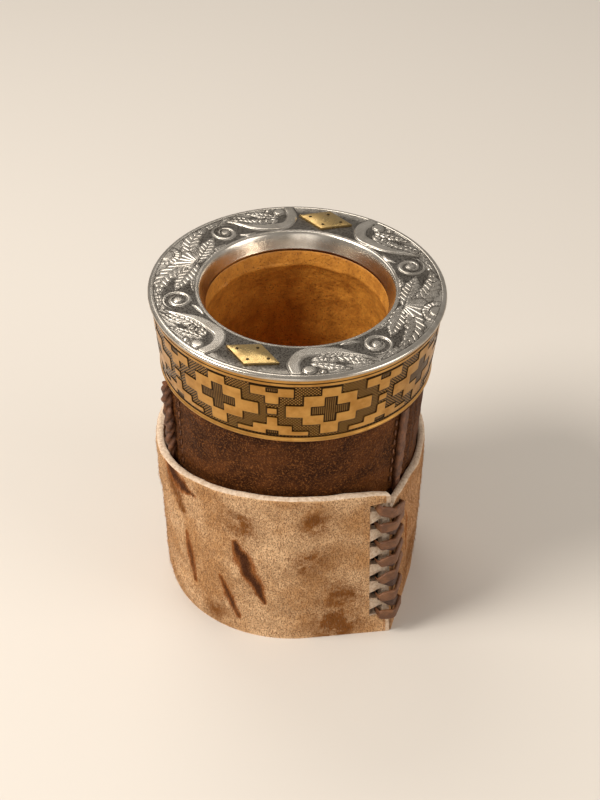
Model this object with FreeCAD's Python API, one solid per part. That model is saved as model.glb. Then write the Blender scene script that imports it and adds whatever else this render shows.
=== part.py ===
"""A gaucho mate cup: a dried gourd in a stitched leather cover, with a chased silver rim and an
engraved brass band, standing in a laced sleeve of hair-on cowhide.

Millimetres, +Z up. The origin is on the table, under the middle of the rim. Angles are in
degrees round +Z from +X, and -90 is the front. The gourd is built upright on its own axis, then
leaned against the sleeve's wall and set down on the table.
"""

import math
import os

import FreeCAD, Part

V = FreeCAD.Vector
UP = V(0, 0, 1)

# Overall sizes
RIM_TOP = 110.0  # height of the rim's face above the gourd's foot
BELLY_RADIUS = 39.3  # outside of the cover at the belly
SLEEVE_HEIGHT = 62.3  # highest stretch of the sleeve's top edge

# Gourd and cover
FOOT_RADIUS = 9.0  # flat spot that the gourd stands on
BELLY_HEIGHT = 50.0
SHOULDER_FLARE = 1.3  # how much wider the cover is under the band than at the belly
COVER_THICK = 1.5
COVER_TUCK = 9.0  # how far the cover runs up under the band
GOURD_WALL = 4.6
GOURD_TUCK = 5.1  # how far the bare gourd draws in from there to its mouth
MOUTH_ROUND = 0.6  # rounding of the gourd's inner lip
MOUTH_WALL = 5.5  # height of the cut wall inside the lip
MOUTH_TAPER = 0.3  # how far that wall leans in
SKIN_GAP = 0.1  # between two skins that follow each other

# Rim and band
RIM_OVERHANG = 4.4  # of the rim past the cover
MOUTH_RADIUS = 27.7  # inside of the collar at its lower edge
LIP_FLARE = 2.3  # from there to where the collar turns out into the plate
COLLAR_DEPTH = 5.6
SHEET = 1.1  # thickness of rim and band
RIM_EDGE = 1.4  # height of the plate's turned edge
BAND_HEIGHT = 24.4
BAND_INSET = 0.7  # band inside the rim's edge
BAND_GAP = 0.2  # between the band's lower edge and the cover

# Lozenges and their pins
LOZENGE_LONG = 17.4
LOZENGE_MARGIN = 2.3  # of plain plate beside a lozenge's short corners
LOZENGE_SHIFT = -0.5  # of their centres, from the middle of the plate
LOZENGE_THICK = 0.8
LOZENGES = {"front": (-110.2, -7.0), "back": (76.1, -3.5)}  # place round the rim, and twist
PIN_RADIUS = 0.5
PIN_RISE = 0.2
PIN_SHARE = 0.58  # place of a pin between the middle and a corner

# Seams of the cover: place, width and height of the cord on each
SEAMS = {"right": (-38.0, 3.2, 1.6), "left": (-160.0, 3.6, 2.0), "back": (82.0, 3.0, 0.9)}
SEAM_PRESSED = 0.5  # height of a cord inside the sleeve
SEAM_FOOT = 12.3  # where the cords end, under the sleeve's highest edge
SEAM_FREE = 4.2  # where they stand up to their full height, under it too
CROWN_SHARE = 0.6  # of a cord's width, in its crown

# Sleeve: a strip of hide bent to a teardrop, with its two ends laced at the point
SLEEVE_THICK = 2.4
SLEEVE_ROOM = 0.1  # between its top and the cover, on the side that the gourd leans to
SLEEVE_FLARE = 2.2  # how much wider its top is than its foot
POINT_ANGLE = -49.5
POINT_OUT_TOP = 3.6  # how far the point stands out of the round
POINT_OUT_FOOT = 8.3
TOP_SAG = 6.8  # fall of the top edge from its high side to its flanks
TOP_HIGH_ANGLE = -97.0
LOW_END_DROP = 9.3  # top of the end without slots, at the point, under the highest edge
SEAM_SLIT = 0.6  # between the two ends

# Lacing: slots beside one end, and a thong crossing over the point
SLOTS = 7
SLOT_WIDE = 4.4
SLOT_HIGH = 2.4
SLOT_INSET = 2.6  # from the point to the near side of the slots
SLOT_HEAD = 7.4  # from the highest edge to the top of the uppermost slot
SLOT_FOOT = 7.86  # from the table to the lowest slot
THONG_WIDE = 3.6
THONG_THICK = 1.1
THONG_GAP = 0.3  # between the thong and the hide
THONG_STACK = 0.7  # how far the upper passes lie over the lower ones
LACE_LEFT = 3.9  # reach of the thong before the point
LACE_RIGHT = 5.8  # and past it
LACE_DROP = 1.0  # left end of each upper pass, under its slot's top
LACE_RISES = (-4.6, 0.8, 1.6, 3.6, 5.6, 2.4, -0.4)  # rise of the upper passes to the right

# How the gourd stands in the sleeve
LEAN = 1.13  # degrees, towards +X
FOOT_SHARE = 0.9  # of the rim's shift, that the foot is set back by
FOOT_CLEAR = 0.02  # under the leaned foot

SHOULDER_RADIUS = BELLY_RADIUS + SHOULDER_FLARE
RIM_RADIUS = SHOULDER_RADIUS + RIM_OVERHANG
LIP_RADIUS = MOUTH_RADIUS + LIP_FLARE
GOURD_TOP_RADIUS = SHOULDER_RADIUS - GOURD_TUCK
LOZENGE_RADIUS = (LIP_RADIUS + RIM_RADIUS) / 2 + LOZENGE_SHIFT
LOZENGE_SHORT = RIM_RADIUS - LIP_RADIUS - 2 * LOZENGE_MARGIN
BAND_BOTTOM = RIM_TOP - RIM_EDGE - BAND_HEIGHT
COLLAR_BOTTOM = RIM_TOP - COLLAR_DEPTH
FOOT_X = -FOOT_SHARE * RIM_TOP * math.sin(math.radians(LEAN))  # the sleeve's axis
REACH = 3 * RIM_RADIUS  # size of cutting blocks


def polar(radius, angle, z=0.0):
    a = math.radians(angle)
    return V(radius * math.cos(a), radius * math.sin(a), z)


def revolved(edges):
    """Turns a closed outline, drawn in the XZ plane, round the Z axis."""
    face = Part.Face(Part.Wire(edges))
    return face.revolve(V(0, 0, 0), UP, 360)


def line(a, b):
    return Part.makeLine(V(a[0], 0, a[1]), V(b[0], 0, b[1]))


def bezier(*poles):
    curve = Part.BezierCurve()
    curve.setPoles([V(x, 0, z) for x, z in poles])
    return curve.toShape()


def body_curves(inset, top, top_radius=None):
    """The gourd's side from its foot to height top, moved in by inset: foot to belly, belly to top."""
    foot = (FOOT_RADIUS, inset)
    belly = (BELLY_RADIUS - inset, BELLY_HEIGHT)
    shoulder = SHOULDER_RADIUS if top_radius is None else top_radius + inset
    lower = bezier(
        foot,
        (0.80 * BELLY_RADIUS - 0.4 * inset, inset),
        (BELLY_RADIUS - inset - 0.6, 0.40 * BELLY_HEIGHT + 0.4 * inset),
        belly,
    )
    upper = bezier(
        belly,
        (BELLY_RADIUS - inset + 0.3, BELLY_HEIGHT + 0.3 * (top - BELLY_HEIGHT)),
        (SHOULDER_RADIUS - inset + 0.3, BELLY_HEIGHT + 0.7 * (top - BELLY_HEIGHT)),
        (shoulder - inset, top),
    )
    return lower, upper, foot, (shoulder - inset, top)


def shell(outer_inset, inner_inset, top, top_radius=None):
    """A skin of the gourd's form, closed at the foot and open at the top."""
    o_low, o_up, o_foot, o_top = body_curves(outer_inset, top, top_radius)
    i_low, i_up, i_foot, i_top = body_curves(inner_inset, top, top_radius)
    axis = (line((0, o_foot[1]), o_foot), line((0, i_foot[1]), i_foot))
    middle = line((0, o_foot[1]), (0, i_foot[1]))
    return revolved([middle, axis[0], o_low, o_up, line(o_top, i_top), i_up, i_low, axis[1]])


def leather_cover():
    return shell(0.0, COVER_THICK, BAND_BOTTOM + COVER_TUCK)


def gourd_shell():
    """The bare gourd: its wall follows the cover and turns in to the mouth under the collar."""
    inset = COVER_THICK + SKIN_GAP
    low, up, foot, top = body_curves(inset, COLLAR_BOTTOM, GOURD_TOP_RADIUS)
    in_low, _, in_foot, _ = body_curves(inset + GOURD_WALL, COLLAR_BOTTOM)
    belly = (BELLY_RADIUS - inset - GOURD_WALL, BELLY_HEIGHT)
    lip = (MOUTH_RADIUS + MOUTH_ROUND, COLLAR_BOTTOM)
    wall_top = (MOUTH_RADIUS, COLLAR_BOTTOM - MOUTH_ROUND)
    throat = (MOUTH_RADIUS - MOUTH_TAPER, COLLAR_BOTTOM - MOUTH_WALL)
    lip_arc = Part.Arc(
        V(lip[0], 0, lip[1]),
        V(lip[0] - MOUTH_ROUND * math.sin(math.pi / 4), 0,
          wall_top[1] + MOUTH_ROUND * math.cos(math.pi / 4)),
        V(wall_top[0], 0, wall_top[1]),
    ).toShape()
    span = throat[1] - BELLY_HEIGHT
    inside = bezier(
        throat,
        (MOUTH_RADIUS + 2.5, throat[1] - 0.12 * span),
        (belly[0] + 0.4, BELLY_HEIGHT + 0.45 * span),
        belly,
    )
    bottom_out = line((0, foot[1]), foot)
    bottom_in = line((0, in_foot[1]), in_foot)
    axis = line((0, foot[1]), (0, in_foot[1]))
    return revolved([
        axis, bottom_out, low, up, line(top, lip), lip_arc, line(wall_top, throat),
        inside, in_low, bottom_in,
    ])


def rim():
    """Plate and collar in one piece, turned down round the outer edge."""
    edge_round = RIM_EDGE / 2
    under = RIM_TOP - SHEET
    low = RIM_TOP - RIM_EDGE
    outer_arc = Part.Arc(
        V(RIM_RADIUS - edge_round, 0, RIM_TOP),
        V(RIM_RADIUS, 0, RIM_TOP - edge_round),
        V(RIM_RADIUS - edge_round, 0, low),
    ).toShape()
    fold = RIM_RADIUS - BAND_INSET - SHEET
    inner = bezier(
        (MOUTH_RADIUS, COLLAR_BOTTOM),
        (MOUTH_RADIUS + 0.3, COLLAR_BOTTOM + 0.55 * COLLAR_DEPTH),
        (LIP_RADIUS - 1.6, RIM_TOP),
        (LIP_RADIUS, RIM_TOP),
    )
    back = bezier(
        (MOUTH_RADIUS + SHEET, COLLAR_BOTTOM),
        (MOUTH_RADIUS + SHEET + 0.2, COLLAR_BOTTOM + 0.5 * COLLAR_DEPTH),
        (LIP_RADIUS - 0.6, under),
        (LIP_RADIUS + SHEET, under),
    )
    return revolved([
        inner,
        line((LIP_RADIUS, RIM_TOP), (RIM_RADIUS - edge_round, RIM_TOP)),
        outer_arc,
        line((RIM_RADIUS - edge_round, low), (fold, low)),
        line((fold, low), (fold, under)),
        line((fold, under), (LIP_RADIUS + SHEET, under)),
        back,
        line((MOUTH_RADIUS + SHEET, COLLAR_BOTTOM), (MOUTH_RADIUS, COLLAR_BOTTOM)),
    ])


def cover_radius(z):
    """Outside of the cover at height z."""
    lower, upper, _, _ = body_curves(0.0, BAND_BOTTOM + COVER_TUCK)
    level = Part.makeLine(V(FOOT_RADIUS, 0, z), V(REACH, 0, z))
    side = lower if z < BELLY_HEIGHT else upper
    return side.distToShape(level)[1][0][0].x


def sleeve_radii(z):
    """The sleeve's outside at height z: radius of the round, and reach of the point."""
    shift = SLEEVE_HEIGHT * math.sin(math.radians(LEAN))
    top = cover_radius(SLEEVE_HEIGHT) + shift + SLEEVE_ROOM + SLEEVE_THICK
    share = z / SLEEVE_HEIGHT
    radius = top - SLEEVE_FLARE * (1 - share)
    return radius, radius + POINT_OUT_FOOT + (POINT_OUT_TOP - POINT_OUT_FOOT) * share


def band():
    """A tapered ring from the rim's underside down to the cover, with a beaded lower edge."""
    top = RIM_TOP - RIM_EDGE
    top_r = RIM_RADIUS - BAND_INSET
    low_in = max(cover_radius(BAND_BOTTOM), cover_radius(BAND_BOTTOM + COVER_TUCK)) + BAND_GAP
    low_r = low_in + SHEET
    bead = V(low_r + 0.25 * SHEET, 0, BAND_BOTTOM + SHEET / 2)
    bead_arc = Part.Arc(V(low_r, 0, BAND_BOTTOM + SHEET), bead, V(low_r, 0, BAND_BOTTOM)).toShape()
    return revolved([
        line((top_r - SHEET, top), (top_r, top)),
        line((top_r, top), (low_r, BAND_BOTTOM + SHEET)),
        bead_arc,
        line((low_r, BAND_BOTTOM), (low_in, BAND_BOTTOM)),
        line((low_in, BAND_BOTTOM), (top_r - SHEET, top)),
    ])


def lozenge_corners(side):
    """Corners of one lozenge on the rim's face, and its middle."""
    angle, twist = LOZENGES[side]
    middle = polar(LOZENGE_RADIUS, angle, RIM_TOP)
    along = polar(LOZENGE_LONG / 2, angle + 90 + twist)
    across = polar(LOZENGE_SHORT / 2, angle + twist)
    return middle, [middle + along, middle + across, middle - along, middle - across]


def lozenge(side):
    _, corners = lozenge_corners(side)
    return Part.Face(Part.makePolygon(corners + corners[:1])).extrude(UP * LOZENGE_THICK)


def pins(side):
    """The pin heads that stand on one lozenge, one towards each corner."""
    middle, corners = lozenge_corners(side)
    lift = UP * LOZENGE_THICK
    places = [middle + (c - middle) * PIN_SHARE + lift for c in corners]
    return [Part.makeCylinder(PIN_RADIUS, PIN_RISE, p, UP) for p in places]


def seam_cord(angle, width, height):
    """A cord along a seam: a rib on the cover, pressed flat in the sleeve, with a crown above it."""
    top = BAND_BOTTOM - SKIN_GAP

    def layer(wide, high, foot):
        skin = shell(-SKIN_GAP - high, -SKIN_GAP, BAND_BOTTOM + COVER_TUCK)
        slab = Part.makeBox(REACH, wide, top - foot, V(0, -wide / 2, foot))
        slab.rotate(V(0, 0, 0), UP, angle)
        return skin.common(slab)

    rib = layer(width, SEAM_PRESSED, SLEEVE_HEIGHT - SEAM_FOOT)
    crown = layer(CROWN_SHARE * width, height, SLEEVE_HEIGHT - SEAM_FREE)
    return rib.fuse(crown).removeSplitter()


def teardrop(radius, point, z):
    """A circle drawn out to a point by its two tangents."""
    spread = math.degrees(math.acos(radius / point))
    tip = polar(point, POINT_ANGLE, z)
    left = polar(radius, POINT_ANGLE - spread, z)
    right = polar(radius, POINT_ANGLE + spread, z)
    arc = Part.Arc(right, polar(radius, POINT_ANGLE + 180, z), left).toShape()
    return Part.Wire([Part.makeLine(tip, right), arc, Part.makeLine(left, tip)])


def cone(inset, top):
    """The sleeve's outside from the table to height top, moved in by inset."""
    def at(z):
        radius, point = sleeve_radii(z)
        return teardrop(radius - inset, point - inset * point / radius, z)

    return Part.makeLoft([at(0.0), at(top)], True, True)


def arch_radius():
    flank = sleeve_radii(SLEEVE_HEIGHT)[0]
    return (flank ** 2 + TOP_SAG ** 2) / (2 * TOP_SAG)


def top_arch():
    """A lying cylinder whose upper side cuts the strip's top edge: high at front, low at the flanks."""
    start = polar(-REACH, TOP_HIGH_ANGLE, SLEEVE_HEIGHT - arch_radius())
    return Part.makeCylinder(arch_radius(), 2 * REACH, start, polar(1, TOP_HIGH_ANGLE))


def low_end_cap():
    """What is cut off above the end without slots: a plane that meets the arch at the far side."""
    radius, point = sleeve_radii(SLEEVE_HEIGHT)
    inside = radius - SLEEVE_THICK
    low = SLEEVE_HEIGHT - LOW_END_DROP
    aside = inside * math.sin(math.radians(POINT_ANGLE - TOP_HIGH_ANGLE))
    far_height = SLEEVE_HEIGHT - arch_radius() + math.sqrt(arch_radius() ** 2 - aside ** 2)
    slope = math.atan((far_height - low) / (point + inside))
    block = Part.makeBox(2 * REACH, REACH, REACH, V(point - REACH, 0, 0))
    block.rotate(V(point, 0, 0), V(0, 1, 0), math.degrees(slope))
    block.rotate(V(0, 0, 0), UP, POINT_ANGLE)
    block.translate(UP * low)
    return block


def slot_tops():
    highest = SLEEVE_HEIGHT - SLOT_HEAD
    pitch = (highest - SLOT_HIGH - SLOT_FOOT) / (SLOTS - 1)
    return [highest - pitch * i for i in range(SLOTS)]


def tip_at(z):
    """The sleeve's point at height z, and half the angle that the wall's two sides turn there."""
    radius, point = sleeve_radii(z)
    return polar(point, POINT_ANGLE, z), math.degrees(math.acos(radius / point))


def wall_frame(z, side):
    """Axes on the wall beside the point at height z: its place there, along, up and out.
    Side -1 is the end with the slots."""
    tip, spread = tip_at(z)
    up = tip_at(z + 0.5)[0] - tip_at(z - 0.5)[0]
    along = polar(1, POINT_ANGLE + side * (spread + 90))
    out = up.cross(along).normalize() * -side
    return tip, along, up, out


def wall_block(z, side, corners, inner, thick):
    """A plate on the wall from its (along, up) corners, seen from the point at height z."""
    tip, along, up, out = wall_frame(z, side)
    places = [tip + along * a + up * b + out * inner for a, b in corners]
    return Part.Face(Part.makePolygon(places + places[:1])).extrude(out * thick)


def hide_sleeve():
    """The strip of hide: teardrop wall, sloping top edge, slit between its ends, and the slots."""
    wall = cone(0.0, SLEEVE_HEIGHT).cut(cone(SLEEVE_THICK, SLEEVE_HEIGHT))
    wall = wall.common(top_arch()).cut(low_end_cap())
    slit = Part.makeBox(REACH, SEAM_SLIT, 2 * REACH, V(RIM_RADIUS / 2, 0, -REACH))
    slit.rotate(V(0, 0, 0), UP, POINT_ANGLE)
    wall = wall.cut(slit)
    near = SLOT_INSET
    far = near + SLOT_WIDE
    corners = [(near, -SLOT_HIGH), (far, -SLOT_HIGH), (far, 0), (near, 0)]
    for z in slot_tops():
        wall = wall.cut(wall_block(z, -1, corners, -2 * SLEEVE_THICK, 3 * SLEEVE_THICK))
    return wall


def thong_pass(left_z, right_z, inner):
    """One pass of the thong over the point, from a slot at left_z to the other end at right_z."""
    middle_z = left_z + (right_z - left_z) * LACE_LEFT / (LACE_LEFT + LACE_RIGHT)
    half = THONG_WIDE / 2
    stretches = []
    for side, reach, end_z in ((-1, LACE_LEFT, left_z), (1, LACE_RIGHT, right_z)):
        rise = end_z - middle_z
        corners = [(0, -half), (reach, rise - half), (reach, rise + half), (0, half)]
        stretches.append(wall_block(middle_z, side, corners, inner, THONG_THICK))
    return stretches[0].fuse([stretches[1], bend(middle_z, half, inner)])


def bend(z, half, inner):
    """The wedge of a pass that folds over the sleeve's point."""
    tip, _, up, left = wall_frame(z, -1)
    right = wall_frame(z, 1)[3]
    crown = (left + right).normalize()
    outer = inner + THONG_THICK
    spokes = [left * inner, left * outer, crown * outer, right * outer, right * inner, crown * inner]
    corners = [tip - up * half + spoke for spoke in spokes]
    return Part.Face(Part.makePolygon(corners + corners[:1])).extrude(up * (2 * half))


def lacing():
    """The thong: an upper pass from each slot, and a lower pass from it to the next one's end."""
    lefts = [z - LACE_DROP for z in slot_tops()]
    rights = [z + rise for z, rise in zip(lefts, LACE_RISES)]
    upper = [thong_pass(a, b, THONG_GAP + THONG_STACK) for a, b in zip(lefts, rights)]
    lower = [thong_pass(a, b, THONG_GAP) for a, b in zip(lefts, rights[1:])]
    return upper[0].fuse(upper[1:] + lower)


def lean(shape):
    """Leans a piece of the gourd with its foot on the table, at the sleeve's axis."""
    leaned = shape.copy()
    leaned.rotate(V(0, 0, 0), V(0, 1, 0), LEAN)
    leaned.translate(V(FOOT_X, 0, FOOT_RADIUS * math.sin(math.radians(LEAN)) + FOOT_CLEAR))
    return leaned


def main():
    gourd_side = {
        "gourd_shell": gourd_shell(),
        "leather_cover": leather_cover(),
        "rim": rim(),
        "band": band(),
    }
    for side in LOZENGES:
        gourd_side["lozenge_" + side] = lozenge(side)
        for i, pin in enumerate(pins(side), 1):
            gourd_side[f"pin_{side}_{i}"] = pin
    for side, sizes in SEAMS.items():
        gourd_side["seam_cord_" + side] = seam_cord(*sizes)
    sleeve_side = {"hide_sleeve": hide_sleeve(), "lacing": lacing()}

    pieces = {name: lean(shape) for name, shape in gourd_side.items()}
    for name, shape in sleeve_side.items():
        shape.translate(V(FOOT_X, 0, 0))
        pieces[name] = shape
    os.makedirs("parts", exist_ok=True)
    for name, shape in pieces.items():
        shape.exportStep(f"parts/{name}.step")
        print(f"{name:18s} solids {len(shape.Solids)}  volume {shape.Volume:9.1f}  valid {shape.isValid()}")


main()
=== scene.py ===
"""Looks of the mate cup: gourd in stitched leather, chased silver rim, engraved brass band, and a
laced sleeve of hair-on hide.

Sizes are millimetres until they reach a mesh. Angles are degrees round +Z from +X, -90 in front.
"""

import math

import bmesh
import bpy
import numpy as np
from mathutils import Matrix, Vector


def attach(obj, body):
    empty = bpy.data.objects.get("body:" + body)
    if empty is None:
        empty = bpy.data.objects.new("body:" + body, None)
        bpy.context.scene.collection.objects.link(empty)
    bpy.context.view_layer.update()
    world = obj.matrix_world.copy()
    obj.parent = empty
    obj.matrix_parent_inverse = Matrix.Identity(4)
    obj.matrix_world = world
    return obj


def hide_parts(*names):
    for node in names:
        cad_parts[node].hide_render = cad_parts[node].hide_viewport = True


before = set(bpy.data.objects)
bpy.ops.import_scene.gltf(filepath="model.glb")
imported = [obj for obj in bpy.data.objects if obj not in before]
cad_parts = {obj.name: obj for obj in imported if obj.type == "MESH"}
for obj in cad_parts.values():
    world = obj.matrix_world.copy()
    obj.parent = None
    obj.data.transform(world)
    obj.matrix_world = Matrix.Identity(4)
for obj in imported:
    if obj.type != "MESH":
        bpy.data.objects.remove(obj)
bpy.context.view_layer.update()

MM = 0.001

# Gourd, cover and how they stand: the same values as in the part's source
RIM_TOP = 110.0
BELLY_RADIUS = 39.3
BELLY_HEIGHT = 50.0
FOOT_RADIUS = 9.0
SHOULDER_RADIUS = BELLY_RADIUS + 1.3
COVER_THICK = 1.5
GOURD_WALL = 4.6
GOURD_TOP_RADIUS = SHOULDER_RADIUS - 5.1
SKIN_GAP = 0.1
LEAN = 1.13
FOOT_X = -0.9 * RIM_TOP * math.sin(math.radians(LEAN))

# Rim and band
RIM_RADIUS = SHOULDER_RADIUS + 4.4
MOUTH_RADIUS = 27.7
LIP_RADIUS = MOUTH_RADIUS + 2.3
COLLAR_BOTTOM = RIM_TOP - 5.6
SHEET = 1.1
RIM_EDGE = 1.4
BAND_HEIGHT = 24.4
BAND_TOP = RIM_TOP - RIM_EDGE
BAND_BOTTOM = BAND_TOP - BAND_HEIGHT
COVER_TOP = BAND_BOTTOM + 9.0
BAND_TOP_RADIUS = RIM_RADIUS - 0.7
BAND_SIZES = {"Repeats": 8.0, "First Angle": -77.0, "Top": BAND_TOP * MM, "Height": BAND_HEIGHT * MM,
              "Relief": 0.22 * MM}

# Lozenges and pins
LOZENGE_RADIUS = (LIP_RADIUS + RIM_RADIUS) / 2 - 0.5
LOZENGE_LONG = 17.4
LOZENGE_SHORT = RIM_RADIUS - LIP_RADIUS - 4.6
LOZENGE_THICK = 0.8
LOZENGES = {"front": (-110.2, -7.0), "back": (76.1, -3.5)}
PIN_SHARE = 0.58
PALMETTES = (159.5, 343.5)
QUARTER_LONG = 58.7

# Seams
SEAM_RIGHT = -38.0
SEAM_LEFT = -160.0
SEAM_BACK = 82.0
CORD_LOW = 50.0

# Sleeve and lacing
SLEEVE_HEIGHT = 62.3
SLEEVE_THICK = 2.4
SLEEVE_ROOM = 0.1
SLEEVE_FLARE = 2.2
POINT_ANGLE = -49.5
POINT_OUT_TOP = 3.6
POINT_OUT_FOOT = 8.3
TOP_SAG = 6.8
TOP_HIGH_ANGLE = -97.0
LOW_END_HEIGHT = SLEEVE_HEIGHT - 9.3
SLIT_HALF = 0.3
SLOTS = 7
SLOT_NEAR = 2.6
SLOT_FAR = 7.0
SLOT_HIGH = 2.4
SLOT_HIGHEST = SLEEVE_HEIGHT - 7.4
SLOT_PITCH = (SLOT_HIGHEST - SLOT_HIGH - 7.86) / (SLOTS - 1)
SLOT_LOWEST = SLOT_HIGHEST - SLOT_PITCH * (SLOTS - 1) - SLOT_HIGH
TONGUE_LONG = 6.9
END_LONG = 12.0
EDGE_ROUND = 0.35
THONG_WIDE = 3.6
THONG_THICK = 1.1
THONG_GAP = 0.3
THONG_STACK = 0.7
LACE_LEFT = 3.9
LACE_RIGHT = 5.8
LACE_DROP = 1.0
LACE_RISES = (-4.6, 0.8, 1.6, 3.6, 5.6, 2.4, -0.4)

# Hair: how much of it there is, and its marks
HAIR_SIZES = {"Hairs": 2.0e6, "Length": 1.5 * MM, "Width": 0.15 * MM, "Lift": 0.16, "Seed": 7}
# Dark streaks: strength, places as (degrees, height), half widths along the way, seed
STREAKS = (
    (1.0, [(-113.6, 41.5), (-110.8, 35), (-108.3, 30), (-104.5, 23), (-101.4, 16)],
     [0.7, 2.1, 1.9, 1.2, 0.5], 31),
    (0.9, [(-122, 23.5), (-118, 14.3), (-114.2, 6.8)], [0.5, 1.1, 0.7], 32),
    (0.8, [(-140.6, 34.5), (-139.1, 24.4), (-137.6, 14)], [0.6, 1.3, 0.6], 33),
    (0.55, [(-33, 40), (-31, 30), (-30, 21)], [0.4, 0.9, 0.4], 34),
    (0.5, [(35, 44), (38, 30), (36, 18)], [0.4, 1.2, 0.4], 35),
    (0.6, [(120, 48), (117, 38), (118, 27)], [0.4, 1.4, 0.5], 36),
    (1.0, [(-151, 59.5), (-146, 55.5), (-140, 53.8), (-134, 53.2)], [2.6, 3.0, 2.0, 0.5], 41),
)
# Brown clouds: degrees, height, width, strength
BROWN_CLOUDS = (
    (-111, 49.5, 5.5, 0.45), (-80, 52.0, 4.5, 0.5), (-81.5, 35.0, 5.0, 0.5), (-68, 17.5, 5.5, 0.6),
    (-70, 5.5, 6.0, 0.75), (-126, 6.0, 5.0, 0.35), (-20, 12.0, 8.0, 0.4), (60, 20.0, 11.0, 0.5),
    (150, 40.0, 10.0, 0.5), (170, 12.0, 9.0, 0.45), (95, 46.0, 8.0, 0.4),
)

# Lamps: name, place in metres, size, watts
LAMPS = (
    ("key", (-0.55, -0.20, 0.72), 0.35, 8.0),
    ("fill", (0.75, -0.35, 0.45), 0.60, 3.2),
    ("front", (-0.10, -0.90, 0.30), 0.50, 0.7),
    ("top", (-0.20, 0.50, 0.85), 0.50, 2.4),
)


# ---------------------------------------------------------------- shapes

def bezier(poles, steps):
    """Points on a cubic curve, its ends included."""
    t = np.linspace(0, 1, steps)[:, None]
    a, b, c, d = (np.array(p, float) for p in poles)
    return (1 - t) ** 3 * a + 3 * (1 - t) ** 2 * t * b + 3 * (1 - t) * t ** 2 * c + t ** 3 * d


def body_side(inset, top, top_radius=None, steps=60):
    """The gourd's side as (radius, height) points from its foot to height top, moved in by inset."""
    shoulder = (SHOULDER_RADIUS if top_radius is None else top_radius + inset) - inset
    rise = top - BELLY_HEIGHT
    low = bezier([
        (FOOT_RADIUS, inset),
        (0.80 * BELLY_RADIUS - 0.4 * inset, inset),
        (BELLY_RADIUS - inset - 0.6, 0.40 * BELLY_HEIGHT + 0.4 * inset),
        (BELLY_RADIUS - inset, BELLY_HEIGHT),
    ], steps)
    up = bezier([
        (BELLY_RADIUS - inset, BELLY_HEIGHT),
        (BELLY_RADIUS - inset + 0.3, BELLY_HEIGHT + 0.3 * rise),
        (SHOULDER_RADIUS - inset + 0.3, BELLY_HEIGHT + 0.7 * rise),
        (shoulder, top),
    ], steps)
    return np.concatenate([low, up[1:]])


COVER_SIDE = body_side(0.0, COVER_TOP, steps=200)


def cover_radius(height):
    """Radius of the cover's outside at a height."""
    return np.interp(height, COVER_SIDE[:, 1], COVER_SIDE[:, 0])


def ring(radius, height, angle):
    """Upright points from radii, heights and angles in degrees."""
    a = np.radians(angle)
    return np.stack(np.broadcast_arrays(radius * np.cos(a), radius * np.sin(a), height), axis=-1)


def leaned(points):
    """Upright points of the gourd, leaned and set down on the table as in the part."""
    a = math.radians(LEAN)
    x = points[..., 0] * math.cos(a) + points[..., 2] * math.sin(a) + FOOT_X
    z = points[..., 2] * math.cos(a) - points[..., 0] * math.sin(a)
    return np.stack([x, points[..., 1], z + FOOT_RADIUS * math.sin(a) + 0.02], axis=-1)


def ripple(points, size, seed):
    """Smooth unevenness between about -1 and 1, with bumps of about the given size."""
    random = np.random.default_rng(seed)
    total = np.zeros(points.shape[:-1])
    for octave in range(3):
        for _ in range(5):
            way = random.normal(size=3)
            way *= 2 * math.pi * 2 ** octave / size * random.uniform(0.7, 1.3) / np.linalg.norm(way)
            total += 0.5 ** octave * np.sin(points @ way + random.uniform(0, 2 * math.pi))
    return total / 2.4


def smooth(value, low, high):
    """0 below low, 1 above high, and smooth between."""
    share = np.clip((value - low) / (high - low), 0, 1)
    return share * share * (3 - 2 * share)


def through(points, steps=10):
    """A smooth line through the given points."""
    p = np.array(points, float)
    p = np.concatenate([[2 * p[0] - p[1]], p, [2 * p[-1] - p[-2]]])
    t = np.linspace(0, 1, steps, endpoint=False)[:, None]
    rows = []
    for a, b, c, d in zip(p, p[1:], p[2:], p[3:]):
        rows.append(0.5 * (2 * b + (c - a) * t + (2 * a - 5 * b + 4 * c - d) * t ** 2
                           + (3 * b - a - 3 * c + d) * t ** 3))
    return np.concatenate(rows + [p[-2:-1]])


def follow(x, y, line):
    """For places (x, y): share of the line's length at its nearest point, and distance to its side."""
    near = np.full(x.shape, 1e9)
    share = np.zeros(x.shape)
    side = np.zeros(x.shape)
    steps = line[1:] - line[:-1]
    lengths = np.hypot(steps[:, 0], steps[:, 1])
    starts = np.concatenate([[0], np.cumsum(lengths)])
    for (ax, ay), (dx, dy), length, start in zip(line, steps, lengths, starts):
        k = np.clip(((x - ax) * dx + (y - ay) * dy) / length ** 2, 0, 1)
        gap_x = x - ax - k * dx
        gap_y = y - ay - k * dy
        gap = np.hypot(gap_x, gap_y)
        closer = gap < near
        near = np.where(closer, gap, near)
        share = np.where(closer, (start + k * length) / starts[-1], share)
        side = np.where(closer, np.sign(dx * gap_y - dy * gap_x) * gap, side)
    return share, side


# ---------------------------------------------------------------- meshes

def stand(name, data):
    """Puts a mesh, a lamp or a camera into the scene."""
    thing = bpy.data.objects.new(name, data)
    bpy.context.scene.collection.objects.link(thing)
    return thing


def write_numbers(mesh, marks):
    """Gives a mesh its named numbers per point; the one named out is a direction."""
    for key, values in marks.items():
        kind, field = ("FLOAT_VECTOR", "vector") if key == "out" else ("FLOAT", "value")
        layer = mesh.attributes.new(key, kind, "POINT")
        layer.data.foreach_set(field, np.ascontiguousarray(values, np.float32).ravel())


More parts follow.
